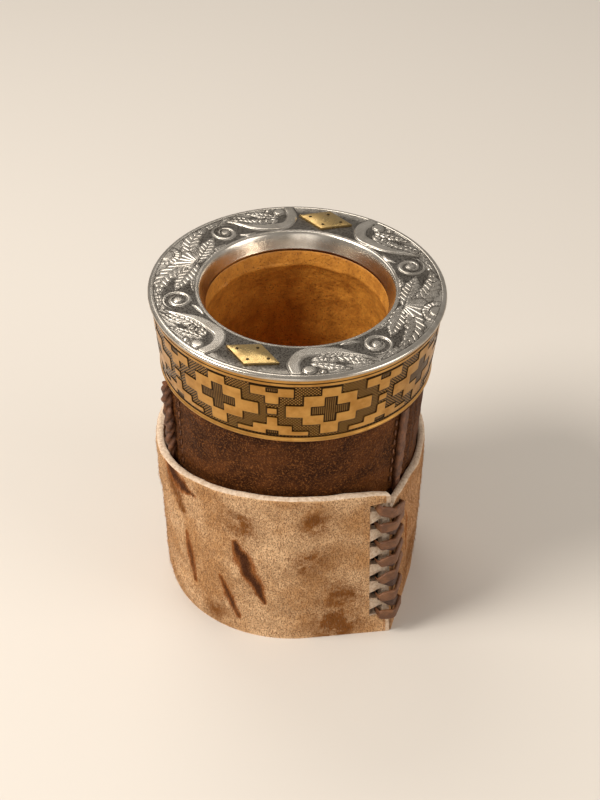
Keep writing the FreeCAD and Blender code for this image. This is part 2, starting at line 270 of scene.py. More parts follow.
def add_mesh(name, points, faces, material, marks=None, uv=None):
    """A mesh from points in millimetres, with its named numbers per point and its UV per corner."""
    mesh = bpy.data.meshes.new(name)
    mesh.from_pydata((points.reshape(-1, 3) * MM).tolist(), [], faces.tolist())
    write_numbers(mesh, marks or {})
    if uv is not None:
        layer = mesh.uv_layers.new(name="UVMap")
        layer.data.foreach_set("uv", np.ascontiguousarray(uv, np.float32).ravel())
    mesh.shade_smooth()
    mesh.materials.append(material)
    return stand(name, mesh)


def grid_faces(across, along, closed_across=True, closed_along=False):
    """Corner numbers of a grid's faces, and the same unwrapped as (across, along) steps."""
    i = np.arange(across if closed_across else across - 1)
    j = np.arange(along if closed_along else along - 1)
    i, j = (g.ravel() for g in np.meshgrid(i, j, indexing="ij"))
    steps = np.stack([
        np.stack([i, j], -1), np.stack([i + 1, j], -1), np.stack([i + 1, j + 1], -1), np.stack([i, j + 1], -1)
    ], axis=1)
    faces = (steps[..., 0] % across) * along + steps[..., 1] % along
    return faces, steps


def turned(name, profile, count, material, shift=None, marks=None, closed=True):
    """A piece turned from a (radius, height) profile, which runs up on its outside. Its points are
    moved by shift(points, profile)."""
    profile = np.array(profile, float)
    angles = np.linspace(-180, 180, count, endpoint=False)
    points = ring(profile[None, :, 0], profile[None, :, 1], angles[:, None])
    if shift is not None:
        points = shift(points, profile)
    faces, steps = grid_faces(count, len(profile), True, closed)
    lengths = np.concatenate([[0], np.cumsum(np.hypot(*np.diff(profile, axis=0).T)), [0]])
    uv = np.stack([steps[..., 0] * (2 * math.pi * 40 / count), lengths[steps[..., 1]]], -1)
    return add_mesh(name, leaned(points), faces, material, marks, uv)


def close_up(piece, fill=False):
    """Fills a tube's open ends or joins points that lie together, and turns all faces outwards."""
    work = bmesh.new()
    work.from_mesh(piece.data)
    if fill:
        bmesh.ops.holes_fill(work, edges=work.edges, sides=0)
    else:
        bmesh.ops.remove_doubles(work, verts=work.verts, dist=1e-6)
    bmesh.ops.recalc_face_normals(work, faces=work.faces)
    work.to_mesh(piece.data)
    work.free()


def pushed(points, out, outline):
    """Moves a turned piece's points out from its axis, and hardly near the axis itself."""
    scale = 1 + out / np.maximum(outline[None, :, 0], 4.0)
    points[..., 0] *= scale
    points[..., 1] *= scale
    return points


def crease(piece, degrees):
    """Edges sharper than this are shaded sharp."""
    piece.data.set_sharp_from_angle(angle=math.radians(degrees))


# ---------------------------------------------------------------- node trees

class Nodes:
    """Short ways to write a shader or a geometry tree."""

    def __init__(self, tree):
        self.tree = tree

    def add(self, kind, inputs=None, **settings):
        node = self.tree.nodes.new(kind)
        for key, value in settings.items():
            setattr(node, key, value)
        for key, value in (inputs or {}).items():
            self.put(node.inputs[key], value)
        return node

    def put(self, socket, value):
        if isinstance(value, bpy.types.NodeSocket):
            self.tree.links.new(value, socket)
        else:
            socket.default_value = value

    def math(self, operation, a, b=0.0, clamp=False):
        return self.add("ShaderNodeMath", {0: a, 1: b}, operation=operation, use_clamp=clamp).outputs[0]

    def all_of(self, operation, first, *others):
        for other in others:
            first = self.math(operation, first, other)
        return first

    def total(self, *values):
        return self.all_of("ADD", *values)

    def times(self, *values):
        return self.all_of("MULTIPLY", *values)

    def most(self, *values):
        return self.all_of("MAXIMUM", *values)

    def least(self, *values):
        return self.all_of("MINIMUM", *values)

    def less(self, a, b):
        return self.math("SUBTRACT", a, b)

    def size(self, value):
        return self.math("ABSOLUTE", value)

    def span(self, value, low, high, to_low=0.0, to_high=1.0):
        """Carries a value from the range low to high over to another range."""
        inputs = {0: value, 1: low, 2: high, 3: to_low, 4: to_high}
        return self.add("ShaderNodeMapRange", inputs, interpolation_type="SMOOTHSTEP", clamp=True).outputs[0]

    def vector(self, operation, a, b):
        return self.add("ShaderNodeVectorMath", {0: a, 1: b}, operation=operation).outputs[0]

    def scaled(self, vector, factor):
        return self.add("ShaderNodeVectorMath", {0: vector, "Scale": factor}, operation="SCALE").outputs[0]

    def parts(self, vector):
        return self.add("ShaderNodeSeparateXYZ", {0: vector}).outputs

    def join(self, x, y, z):
        return self.add("ShaderNodeCombineXYZ", {0: x, 1: y, 2: z}).outputs[0]

    def noise(self, vector, scale, detail=3.0, roughness=0.5, distortion=0.0):
        inputs = {"Vector": vector, "Scale": scale, "Detail": detail, "Roughness": roughness,
                  "Distortion": distortion}
        return self.add("ShaderNodeTexNoise", inputs).outputs[0]

    def cells(self, vector, scale):
        return self.add("ShaderNodeTexVoronoi", {"Vector": vector, "Scale": scale}).outputs["Distance"]

    def blend(self, share, a, b):
        """Mixes two colours."""
        node = self.add("ShaderNodeMix", data_type="RGBA", blend_type="MIX", clamp_factor=True)
        self.put(node.inputs[0], share)
        self.put(node.inputs[6], a)
        self.put(node.inputs[7], b)
        return node.outputs[2]

    def number(self, name):
        """A number that the mesh carries, in a shader."""
        return self.add("ShaderNodeAttribute", attribute_name=name).outputs["Fac"]

    def carried(self, name, kind="FLOAT"):
        """A number or a direction that the mesh carries, in a geometry tree."""
        node = self.add("GeometryNodeInputNamedAttribute", data_type=kind)
        node.inputs[0].default_value = name
        return node.outputs[0]

    def keep(self, shape, name, value, domain="POINT"):
        """Stores a number on a shape, in a geometry tree."""
        node = self.add("GeometryNodeStoreNamedAttribute", {"Geometry": shape, "Name": name},
                        data_type="FLOAT", domain=domain)
        self.put(node.inputs["Value"], value)
        return node.outputs[0]

    def even_curve(self, given, step):
        """The line of points that comes in, as a curve with even steps."""
        curve = self.add("GeometryNodeMeshToCurve", {0: given["Geometry"]}).outputs[0]
        inputs = {"Curve": curve, "Length": given[step]}
        return self.add("GeometryNodeResampleCurve", inputs, mode="LENGTH").outputs[0]

    def body(self, curve, outline):
        """A closed body along a curve, as wide as its points say."""
        inputs = {0: curve, 1: outline, "Scale": self.carried("wide"), "Fill Caps": True}
        return self.add("GeometryNodeCurveToMesh", inputs).outputs[0]

    def copies(self, points, shape, size, **turn):
        """Copies of a shape on points."""
        inputs = {"Points": points, "Instance": shape, "Scale": size, **turn}
        return self.add("GeometryNodeInstanceOnPoints", inputs).outputs[0]


def color(red, green, blue):
    """An opaque colour."""
    return (red, green, blue, 1.0)


def new_material(name):
    """A material, its nodes, and each point's place in millimetres."""
    material = bpy.data.materials.new(name)
    material.use_nodes = True
    n = Nodes(material.node_tree)
    where = n.vector("MULTIPLY", n.add("ShaderNodeTexCoord").outputs["Object"], (1000, 1000, 1000))
    return material, n, where


def dress(material, n, tone, roughness, height=None, depth=0.0, specular=0.5, metallic=0.0):
    """Gives a material its colour and roughness, and a bump that runs over depth in metres."""
    surface = material.node_tree.nodes["Principled BSDF"]
    n.put(surface.inputs["Base Color"], tone)
    n.put(surface.inputs["Roughness"], roughness)
    if height is not None:
        bump = n.add("ShaderNodeBump", {"Height": height, "Strength": 1.0, "Distance": depth})
        n.put(surface.inputs["Normal"], bump.outputs[0])
    surface.inputs["Specular IOR Level"].default_value = specular
    surface.inputs["Metallic"].default_value = metallic
    return material


def run_tree(piece, tree, values):
    """Runs a geometry tree on a piece with the given inputs, and keeps the result as its mesh."""
    modifier = piece.modifiers.new(tree.name, "NODES")
    modifier.node_group = tree
    for item in tree.interface.items_tree:
        if item.item_type == "SOCKET" and item.in_out == "INPUT" and item.name in values:
            modifier[item.identifier] = values[item.name]
    shown = bpy.context.evaluated_depsgraph_get()
    made = bpy.data.meshes.new_from_object(piece.evaluated_get(shown), depsgraph=shown)
    piece.modifiers.clear()
    made.name = piece.name
    piece.data = made
    return piece


def new_tree(name, inputs):
    """A geometry tree with a mesh coming in and its named sizes."""
    tree = bpy.data.node_groups.new(name, "GeometryNodeTree")
    tree.interface.new_socket("Geometry", in_out="INPUT", socket_type="NodeSocketGeometry")
    tree.interface.new_socket("Geometry", in_out="OUTPUT", socket_type="NodeSocketGeometry")
    for key, value in inputs.items():
        kind = "NodeSocketInt" if isinstance(value, int) else "NodeSocketFloat"
        tree.interface.new_socket(key, in_out="INPUT", socket_type=kind).default_value = value
    n = Nodes(tree)
    return tree, n, n.add("NodeGroupInput").outputs


def end_tree(n, geometry, material):
    """Ends a tree: makes instances real, sets the material and smooth shading."""
    real = n.add("GeometryNodeRealizeInstances", {0: geometry}).outputs[0]
    soft = n.add("GeometryNodeSetShadeSmooth", {0: real}).outputs[0]
    dressed = n.add("GeometryNodeSetMaterial", {0: soft, "Material": material}).outputs[0]
    n.add("NodeGroupOutput", {0: dressed})


def place(piece, slot, *nodes):
    """Hangs a piece on the part's body, in place of its nodes."""
    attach(piece, "root")
    if nodes:
        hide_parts(*nodes)
    return piece


# ---------------------------------------------------------------- materials

def silver():
    """Worn silver: polished where it stands up, blackened in the ground, finely scratched."""
    material, n, where = new_material("chased_silver")
    dark = n.number("dark")
    fine = n.noise(where, 1.6, 4.0, 0.65)
    tarnish = n.span(n.noise(where, 0.16, 3.0, 0.6), 0.35, 0.75)
    dots = n.cells(where, 1.9)
    shade = n.total(dark, n.times(n.span(fine, 0.35, 0.8, -0.12, 0.16), n.span(dark, 0.05, 0.5)))
    shade = n.math("ADD", shade, n.times(tarnish, 0.10), clamp=True)
    clean = n.blend(tarnish, color(0.62, 0.560, 0.480), color(0.46, 0.405, 0.335))
    shade = n.span(shade, 0.18, 0.84)
    pits = n.times(shade, n.span(dots, 0.15, 0.60, 1.0, 0.80))
    tone = n.blend(pits, clean, color(0.020, 0.015, 0.011))
    rough = n.total(n.span(shade, 0.1, 0.9, 0.24, 0.60), n.span(fine, 0.3, 0.8, -0.02, 0.04))
    scratch = n.noise(n.vector("MULTIPLY", where, (0.5, 3.0, 3.0)), 2.2, 3.0)
    grain = n.total(n.times(scratch, 0.02), n.times(n.times(dots, n.span(dark, 0.3, 0.8)), 0.9))
    return dress(material, n, tone, rough, grain, 0.00010, metallic=1.0)


def band_gold():
    """Warm gilt brass with painted groove shade along its outlines, hatching in the sunk ground and dark
    crosses.
    """
    material, n, where = new_material("engraved_brass")
    field = n.number("field")
    sunk = n.number("sunk")
    plain = n.span(field, -0.10, 0.10)
    cross = n.span(sunk, -0.10, 0.10)
    line = n.least(n.size(field), n.size(sunk), n.number("groove"))
    # Painted shade of the engraved grooves: a dark line all round the pattern's outlines
    edge = n.span(line, 0.15, 0.29, 1.0, 0.0)
    across, up, _ = n.parts(n.add("ShaderNodeTexCoord").outputs["UV"])

    def lines(slope, pitch):
        """Ruled lines, leaning by slope."""
        wave = n.math("FRACT", n.math("DIVIDE", n.total(across, n.times(up, slope)), pitch))
        return n.span(n.size(n.less(wave, 0.5)), 0.20, 0.36)

    hatch = n.times(n.most(lines(1.0, 1.05), lines(-1.0, 1.05)), n.less(1.0, plain))
    ruled = n.times(lines(0.0, 0.62), cross)
    worn = n.span(n.noise(where, 0.22, 4.0, 0.6), 0.32, 0.75)
    specks = n.span(n.noise(where, 2.4, 3.0, 0.7), 0.60, 0.78)
    gold = n.blend(worn, color(0.60, 0.325, 0.090), color(0.44, 0.215, 0.050))
    ground = n.blend(hatch, color(0.50, 0.265, 0.070), color(0.020, 0.010, 0.003))
    tone = n.blend(plain, ground, gold)
    inked = n.times(cross, n.total(0.66, n.times(ruled, 0.32)))
    tone = n.blend(inked, tone, color(0.022, 0.012, 0.006))
    # Lays the painted groove shade over the colour
    tone = n.blend(n.times(edge, 0.94), tone, color(0.016, 0.008, 0.003))
    tone = n.blend(n.times(specks, 0.35), tone, color(0.12, 0.065, 0.02))
    rough = n.total(n.span(worn, 0, 1, 0.30, 0.42), n.times(edge, 0.2))
    height = n.total(n.times(hatch, -0.5), n.times(specks, -0.3))
    return dress(material, n, tone, rough, height, 0.0001, metallic=1.0)


def lozenge_brass():
    """Paler brass, polished and rubbed."""
    material, n, where = new_material("pale_brass")
    worn = n.span(n.noise(where, 0.35, 4.0, 0.6), 0.35, 0.72)
    tone = n.blend(worn, color(0.54, 0.375, 0.155), color(0.43, 0.280, 0.105))
    scratch = n.noise(n.vector("MULTIPLY", where, (0.4, 3.0, 1.0)), 3.0, 2.0)
    return dress(material, n, tone, n.span(worn, 0, 1, 0.26, 0.40), scratch, 0.00002, metallic=1.0)


def pin_brass():
    """Dull, nearly black heads."""
    material, n, where = new_material("dull_pin_brass")
    tone = n.blend(n.noise(where, 2.0, 3.0), color(0.018, 0.012, 0.006), color(0.070, 0.045, 0.020))
    return dress(material, n, tone, 0.5, metallic=1.0)


def cover_leather():
    """Dark brown leather, speckled and rubbed lighter in patches."""
    material, n, where = new_material("cover_grain")
    patches = n.span(n.noise(where, 0.085, 4.0, 0.62, 0.4), 0.38, 0.68)
    pores = n.cells(n.vector("MULTIPLY", where, (1.0, 1.0, 0.8)), 1.5)
    specks = n.span(n.noise(where, 1.7, 5.0, 0.78), 0.49, 0.66)
    dark = n.blend(patches, color(0.030, 0.0083, 0.002), color(0.088, 0.0265, 0.006))
    tone = n.blend(n.times(specks, 0.90), dark, color(0.250, 0.092, 0.024))
    tone = n.blend(n.span(pores, 0.05, 0.30, 0.55, 0.0), tone, color(0.022, 0.010, 0.006))
    height = n.total(n.times(pores, 0.6), n.times(n.noise(where, 0.5, 5.0, 0.6), 1.2))
    return dress(material, n, tone, n.span(patches, 0, 1, 0.66, 0.56), height, 0.00034, specular=0.08)


def thread_leather():
    """Reddish brown of the cords, and of the stitches."""
    material, n, where = new_material("cord_brown")
    tones = n.span(n.noise(where, 0.5, 4.0, 0.65), 0.35, 0.70)
    tone = n.blend(tones, color(0.070, 0.024, 0.009), color(0.200, 0.074, 0.026))
    return dress(material, n, tone, 0.6, n.noise(where, 2.5, 3.0), 0.0002)


def lace_leather():
    """Mid-brown thong, smooth on its upper passes, with painted shade on its lower passes."""
    material, n, where = new_material("lace_brown")
    tones = n.span(n.noise(where, 0.30, 4.0, 0.6), 0.35, 0.70)
    upper = n.blend(tones, color(0.105, 0.036, 0.011), color(0.205, 0.082, 0.029))
    # Painted shade: the lower passes, lying under the upper ones, are darkened
    tone = n.blend(n.number("under"), upper, color(0.045, 0.015, 0.006))
    streaks = n.noise(n.vector("MULTIPLY", where, (0.6, 0.6, 3.0)), 1.3, 3.0)
    tone = n.blend(n.span(streaks, 0.5, 0.75, 0.0, 0.30), tone, color(0.36, 0.165, 0.070))
    return dress(material, n, tone, 0.52, n.total(streaks, n.noise(where, 1.2, 4.0)), 0.00018)


def gourd_wood():
    """Dry gourd, orange-brown with darker streaks and specks; paler where the mouth is cut."""
    material, n, where = new_material("dry_gourd")
    x, y, z = n.parts(where)
    streaks = n.noise(n.join(n.times(x, 0.5), n.times(y, 0.5), n.times(z, 0.30)), 0.40, 5.0, 0.65, 0.2)
    specks = n.span(n.noise(where, 1.5, 3.0, 0.70), 0.57, 0.64)
    inside = n.blend(n.span(streaks, 0.3, 0.7), color(0.400, 0.145, 0.014), color(0.640, 0.265, 0.032))
    tone = n.blend(n.times(n.number("cut"), 0.15), inside, color(0.66, 0.300, 0.055))
    tone = n.blend(n.times(specks, 0.70), tone, color(0.14, 0.040, 0.006))
    height = n.total(streaks, n.times(n.noise(where, 1.0, 4.0), 0.7))
    return dress(material, n, tone, 0.58, height, 0.00035)


def hide_tone(n, where):
    """Colour of the hair: tan with brown clouds, dark streaks and fine flecks."""
    clouds = n.span(n.noise(where, 0.055, 4.0, 0.62), 0.36, 0.66)
    fine = n.noise(n.vector("MULTIPLY", where, (1.3, 1.3, 0.8)), 1.9, 4.0, 0.75)
    tan = n.blend(clouds, color(0.890, 0.585, 0.325), color(0.620, 0.330, 0.135))
    tan = n.blend(n.number("warm"), tan, color(0.520, 0.250, 0.100))
    tone = n.blend(n.times(n.span(fine, 0.46, 0.58), 0.78), tan, color(0.215, 0.088, 0.031))
    rust = n.times(n.number("brown"), n.span(n.noise(where, 0.22, 3.0, 0.7), 0.35, 0.60, 0.6, 1.9))
    tone = n.blend(n.times(rust, n.span(fine, 0.3, 0.6, 0.75, 1.15)), tone, color(0.245, 0.086, 0.016))
    streak = n.total(n.number("streak"), n.span(fine, 0.3, 0.7, -0.10, 0.10))
    tone = n.blend(n.span(streak, 0.0, 0.50, 0.0, 0.90), tone, color(0.330, 0.100, 0.016))
    return n.blend(n.span(streak, 0.45, 1.0, 0.0, 0.96), tone, color(0.062, 0.016, 0.003)), fine


def hide_skin():
    """The hide under its hair, and its raw pale edges and flesh side."""
    material, n, where = new_material("hide_with_raw_edges")
    tone, fine = hide_tone(n, where)
    fibres = n.noise(where, 0.9, 5.0, 0.7)
    raw = n.blend(n.span(fibres, 0.35, 0.70), color(0.84, 0.66, 0.49), color(0.58, 0.39, 0.245))
    tone = n.blend(n.span(n.number("raw"), 0.25, 0.60), tone, raw)
    return dress(material, n, tone, 0.75, n.total(fine, n.times(fibres, 0.8)), 0.0004, specular=0.15)


def hide_hair():
    """The hair itself."""
    material, n, where = new_material("hide_hair")
    tone, _ = hide_tone(n, where)
    unstreaked = n.span(n.number("streak"), 0.0, 0.4, 1.0, 0.0)
    light = n.times(n.span(n.number("chance"), 0.55, 1.0, 0.0, 0.35), unstreaked)
    return dress(material, n, n.blend(light, tone, color(0.74, 0.53, 0.33)), 0.6, specular=0.15)


# ---------------------------------------------------------------- gourd and cover

def gourd_piece():
    """The bare gourd, with the cut wall of its mouth and the empty inside."""
    inset = COVER_THICK + SKIN_GAP
    outer = body_side(inset, COLLAR_BOTTOM, GOURD_TOP_RADIUS, 30)
    low = body_side(inset + GOURD_WALL, COLLAR_BOTTOM, steps=40)[:40]
    throat = (MOUTH_RADIUS - 0.3, COLLAR_BOTTOM - 5.5)
    span = throat[1] - BELLY_HEIGHT
    side = bezier([
        throat,
        (MOUTH_RADIUS + 2.5, throat[1] - 0.12 * span),
        (low[-1][0] + 0.4, BELLY_HEIGHT + 0.45 * span),
        tuple(low[-1]),
    ], 70)
    lip = ring_arc((MOUTH_RADIUS + 0.6, COLLAR_BOTTOM - 0.6), 0.6, 90, 180, 5)
    wall = np.linspace(lip[-1], throat, 9)[1:-1]
    profile = np.concatenate([
        [(0.0, inset)], outer, lip, wall, side, low[::-1][1:], [(0.0, inset + GOURD_WALL)],
    ])
    cut_from = 1 + len(outer)
    wall_from = cut_from + len(lip)
    cut_to = wall_from + len(wall)

    def shift(points, outline):
        rough = 0.22 * ripple(points * (0.6, 0.6, 1.0), 9.0, 3)
        rough[:, :wall_from] = 0.0
        rough[:, wall_from:cut_to] *= 0.3
        return pushed(points, rough, outline)

    count = 240
    cut = np.zeros((count, len(profile)))
    cut[:, cut_from:cut_to] = 1.0
    piece = turned("gourd_shell_bare", profile, count, gourd_wood(), shift, {"cut": cut}, closed=False)
    close_up(piece)
    crease(piece, 55)
    return place(piece, "gourd", "gourd_shell")


def ring_arc(centre, radius, start, end, steps):
    """Points of an arc in the (radius, height) plane."""
    a = np.radians(np.linspace(start, end, steps))
    return np.stack([centre[0] + radius * np.cos(a), centre[1] + radius * np.sin(a)], -1)


def beside(angles, seam, height):
    """Distance along the cover from a seam, in millimetres."""
    turn = (angles - seam + 180) % 360 - 180
    return np.radians(turn) * cover_radius(height)


def cover_piece():
    """Leather drawn over the gourd: uneven, with furrows along its seams and creases beside them."""
    side = body_side(0.0, COVER_TOP, steps=60)
    outer = np.concatenate([side[:60:3], side[60:]])
    inner = body_side(COVER_THICK, COVER_TOP, steps=12)[::-1]
    profile = np.concatenate([[(0.0, 0.0)], outer, inner, [(0.0, COVER_THICK)]])
    shown = np.zeros(len(profile))
    shown[1:1 + len(outer)] = smooth(outer[:, 1], 20, 40) * (1 - smooth(outer[:, 1], 82.5, 84.5))
    count = 540
    a = np.linspace(-180, 180, count, endpoint=False)[:, None]

    def shift(points, outline):
        z = outline[None, :, 1]
        out = 0.16 * ripple(points, 16.0, 11) + 0.05 * ripple(points, 4.0, 12)
        left, right, back = (beside(a, seam, z) for seam in (SEAM_LEFT, SEAM_RIGHT, SEAM_BACK))
        for near in (left, right, back):
            out -= 0.35 * np.exp(-(np.abs(near) - 2.6) ** 2 / 0.5)
        out += 0.30 * np.exp(-(left - 4.6) ** 2 / 1.6) - 0.30 * np.exp(-(left - 6.2) ** 2 / 0.25)
        wrinkles = np.sin(right * 1.3 + 1.2 * np.sin(z * 0.16))
        out += 0.14 * wrinkles * smooth(right, 2, 4) * (1 - smooth(right, 9, 15))
        return pushed(points, out * shown, outline)

    piece = turned("leather_cover_skin", profile, count, cover_leather(), shift, closed=False)
    close_up(piece)
    return place(piece, "cover_leather", "leather_cover")


# ---------------------------------------------------------------- rim

def quarter_place(angles):
    """How far along the ornament's drawing each angle lies: 0 at a lozenge, most at a palmette."""
    front = LOZENGES["front"][0] + 360
    back = LOZENGES["back"][0]
    first, second = PALMETTES
    stops = [second - 360, back, first, front, second, back + 360]
    return np.interp(angles % 360, stops, [QUARTER_LONG, 0] * 3)


class Chasing:
    """The rim's raised ornament: a height and a darkness per point of the plate. Places are s along
    the quarter from a lozenge's middle, and t out from the lip."""

    def __init__(self, s, t):
        self.s = s
        self.t = t
        self.high = np.zeros(s.shape)
        ground = 1 - 0.80 * smooth(t, 9.6, 12.4) * (0.55 + 0.45 * smooth(s, 7, 12))
        self.dark = 0.14 + 0.80 * ground * (1 - 0.5 * smooth(t, 12.6, 13.4))

    def lay(self, inside, height, detail=0.0, shine=0.05, soft=0.40):
        """Lays a raised shape, whose inside distance is given, over what is there."""
        covers = smooth(inside, -0.10, 0.10)
        line = np.exp(-((inside + 0.12) / 0.25) ** 2)
        self.dark = self.dark * (1 - covers) + covers * (shine + 0.90 * np.clip(-detail * 6, 0, 1))
        self.dark = np.maximum(self.dark, 0.92 * line)
        self.high = np.where(inside > 0, height * smooth(inside, 0, soft) + detail, self.high)

    def ball(self, s, t, radius, height, speckle=0.0):
        """A round bead."""
        gap = np.hypot(self.s - s, self.t - t)
        dome = np.sqrt(np.clip(1 - (gap / radius) ** 2, 0, 1))
        dots = speckle * np.clip(np.sin(self.s * 9) * np.sin(self.t * 9), -1, 0.2)
        self.lay(radius - gap, height, (dome - 1) * 0.12 + dots * 0.10)

    def stem(self, points, widths, height, barbs=0.0, pitch=1.2, lobes=0.0, shine=0.05):
        """A leaf or scroll along a line, with its half widths along the way."""
        line = through(points)
        share, side = follow(self.s, self.t, line)
        length = np.hypot(*np.diff(line, axis=0).T).sum()
        half = np.interp(share, np.linspace(0, 1, len(widths)), widths)
        along = share * length
        if lobes:
            half = half * (1 + 0.30 * np.abs(np.sin(along * math.pi / lobes)) - 0.12)
        detail = 0.0
        if barbs:
            veins = np.sin((along - np.abs(side) * 0.9) * 2 * math.pi / pitch)
            rib = np.exp(-(side / 0.18) ** 2)
            detail = -barbs * (np.clip(-veins, 0, 1) ** 4 * (1 - rib)) - barbs * 0.9 * rib
        self.lay(half - np.abs(side), height, detail, shine)

    def volute(self, s, t, radius):
        """A rolled-up scroll with a bead in its middle."""
        gap = np.hypot(self.s - s, self.t - t)
        turn = np.arctan2(self.t - t, self.s - s) / (2 * math.pi)
        pitch = 2.7
        coil = np.abs((gap - pitch * turn) % pitch - pitch / 2)
        inside = np.minimum(0.74 - coil, radius - gap)
        inside = np.where(gap < 1.8, -1.0, inside)
        self.lay(inside, 0.34)
        self.ball(s, t, 1.6, 0.40, speckle=1.0)

    def palmette(self, s, t):
        """A ribbed fan standing on the lip, with a rayed disc over it."""
        ds = self.s - s
        dt = self.t - t + 1.2
        turn = np.arctan2(np.abs(ds), dt)
        reach = np.hypot(ds, dt)
        rise = np.clip((self.t - t) / 9.0, 0, 1)
        half = 4.6 * np.sin(np.pi * (0.12 + 0.80 * rise) ** 0.85)
        inside = np.minimum(half - np.abs(ds), np.minimum(self.t - t, t + 9.6 - self.t))
        ribs = np.clip(np.cos(turn * 20), -1, 0.2)
        self.lay(inside, 0.36, ribs * 0.10 * smooth(reach, 1.0, 2.5))
        gap = np.hypot(ds, self.t - 12.9)
        rays = np.clip(np.cos(np.arctan2(ds, self.t - 12.9) * 18), -1, 0.3)
        self.lay(np.where(self.t > 8.6, 4.4 - gap, -1.0), 0.30, rays * 0.10 * smooth(gap, 2.2, 2.6))
        self.lay(2.2 - gap, 0.38)


def chased_relief(angles, radii):
    """Height and darkness of the rim's plate at each angle and radius."""
    s, t = np.meshgrid(quarter_place(angles), radii - LIP_RADIUS, indexing="ij")
    work = Chasing(s, t)
    # Places along the midrib, half widths, height, pitch of the veins, length of the lobes
    leaves = (
        ([(34.0, 12.9), (38.5, 11.8), (43.5, 12.9)], [0.2, 1.1, 0.2], 0.24, 1.6, 0.0),
        ([(41.5, 1.3), (46.0, 1.5), (51.0, 1.2)], [0.2, 0.9, 0.2], 0.24, 1.6, 0.0),
        ([(27.0, 1.5), (30.5, 1.5), (33.4, 2.8)], [0.2, 1.0, 0.2], 0.26, 0.0, 0.0),
        ([(58.2, 2.6), (52.0, 3.5), (47.0, 4.7), (42.3, 6.6)], [0.8, 2.3, 2.5, 1.9, 0.2], 0.32, 2.0, 2.6),
        ([(58.4, 4.0), (52.5, 8.3), (46.5, 10.9), (40.4, 11.6)], [0.8, 2.2, 2.7, 2.0, 0.2], 0.36, 2.1, 2.8),
        ([(24.5, 7.6), (28.5, 10.6), (32.5, 13.0)], [0.4, 1.5, 0.3], 0.30, 1.5, 0.0),
        ([(16.5, 8.4), (20.5, 9.8), (25.5, 12.6)], [0.6, 1.7, 0.3], 0.30, 1.5, 2.2),
        ([(17.0, 6.6), (21.5, 6.3), (26.5, 7.4), (31.4, 11.6)], [0.8, 1.9, 2.1, 1.4, 0.2], 0.34, 1.7, 2.4),
    )
    for points, widths, height, pitch, lobes in leaves:
        work.stem(points, widths, height, 0.15 if pitch else 0.0, pitch or 1.0, lobes)
    work.stem([(12.4, 12.9), (11.6, 8.0), (14.0, 3.7), (19.0, 2.9), (26.0, 4.6), (33.2, 11.4)],
              [1.5, 1.9, 2.0, 1.7, 1.0, 0.15], 0.42)
    for s_bead, t_bead, r_bead in ((15.6, 11.2, 1.9), (18.9, 12.3, 0.9), (20.6, 7.0, 0.8), (22.8, 7.2, 0.7)):
        work.ball(s_bead, t_bead, r_bead, 0.48)
    work.volute(36.9, 6.4, 4.6)
    work.palmette(58.7, 3.1)
    border = smooth(t, 13.2, 13.6)
    work.high = work.high * (1 - border) + 0.16 * border
    work.dark = work.dark * (1 - border) + 0.06 * border
    groove = np.exp(-((t - 13.3) / 0.16) ** 2)
    work.dark = np.maximum(work.dark, 0.85 * groove)
    lip = 1 - smooth(t, 0.5, 1.1)
    work.high = work.high * (1 - lip)
    work.dark = work.dark * (1 - lip) + 0.04 * lip
    work.high *= 1 - smooth(t, 14.1, 14.5)
    return work.high, work.dark


def rim_piece():
    """Plate and collar as one turned piece, its plate chased."""
    edge = RIM_EDGE / 2
    under = RIM_TOP - SHEET
    low = RIM_TOP - RIM_EDGE
    fold = BAND_TOP_RADIUS - SHEET
    outer = ring_arc((RIM_RADIUS - edge, low + edge), edge, -90, 90, 9)
    plate_radii = np.linspace(RIM_RADIUS - edge, LIP_RADIUS, 59)[1:-1]
    plate = np.stack([plate_radii, np.full(plate_radii.shape, RIM_TOP)], -1)
    inner = bezier([
        (LIP_RADIUS, RIM_TOP),
        (LIP_RADIUS - 0.7, RIM_TOP - 0.2),
        (MOUTH_RADIUS + 0.9, COLLAR_BOTTOM + 2.3),
        (MOUTH_RADIUS, COLLAR_BOTTOM),
    ], 12)
    back = bezier([
        (MOUTH_RADIUS + SHEET, COLLAR_BOTTOM),
        (MOUTH_RADIUS + SHEET + 0.2, COLLAR_BOTTOM + 2.8),
        (LIP_RADIUS - 0.6, under),
        (LIP_RADIUS + SHEET, under),
    ], 5)
    profile = np.concatenate([outer, plate, inner, back, [(fold, under), (fold, low)]])
    chased = slice(len(outer), len(outer) + len(plate))
    count = 1120
    angles = np.linspace(-180, 180, count, endpoint=False)
    high, plate_dark = chased_relief(angles, plate_radii)
    dark = np.full((count, len(profile)), 0.03)
    dark[:, chased] = plate_dark

    def shift(points, outline):
        points[:, chased, 2] += high
        return points

    piece = turned("rim_chased", profile, count, silver(), shift, {"dark": dark})
    return place(piece, "rim_silver", "rim")


# ---------------------------------------------------------------- lozenges and pins

def lozenge_corners(side):
    """Corners of one lozenge, and its middle, on the rim's face."""
    angle, twist = LOZENGES[side]
    middle = ring(LOZENGE_RADIUS, RIM_TOP, angle)
    along = ring(LOZENGE_LONG / 2, 0.0, angle + 90 + twist)
    across = ring(LOZENGE_SHORT / 2, 0.0, angle + twist)
    return middle, [middle + along, middle + across, middle - along, middle - across]


def lozenge_piece(side, material):
    """A small plate with softened edges."""
    middle, corners = lozenge_corners(side)
    corners = np.array(corners[::-1])
    thick = LOZENGE_THICK
    rows = []
    for share, lift in ((1.0, 0.0), (1.0, thick - 0.22), (0.985, thick - 0.06), (0.95, thick)):
        outline = middle + (corners - middle) * share
        rows.append(np.concatenate([
            np.linspace(a, b, 8, endpoint=False) for a, b in zip(outline, np.roll(outline, -1, 0))
        ]) + (0, 0, lift))
    points = np.stack(rows, axis=1)
    faces, _ = grid_faces(len(points), 4)
    piece = add_mesh("lozenge_plate_" + side, leaned(points), faces, material)
    close_up(piece, fill=True)
    crease(piece, 40)
    return place(piece, "lozenge_brass", "lozenge_" + side)


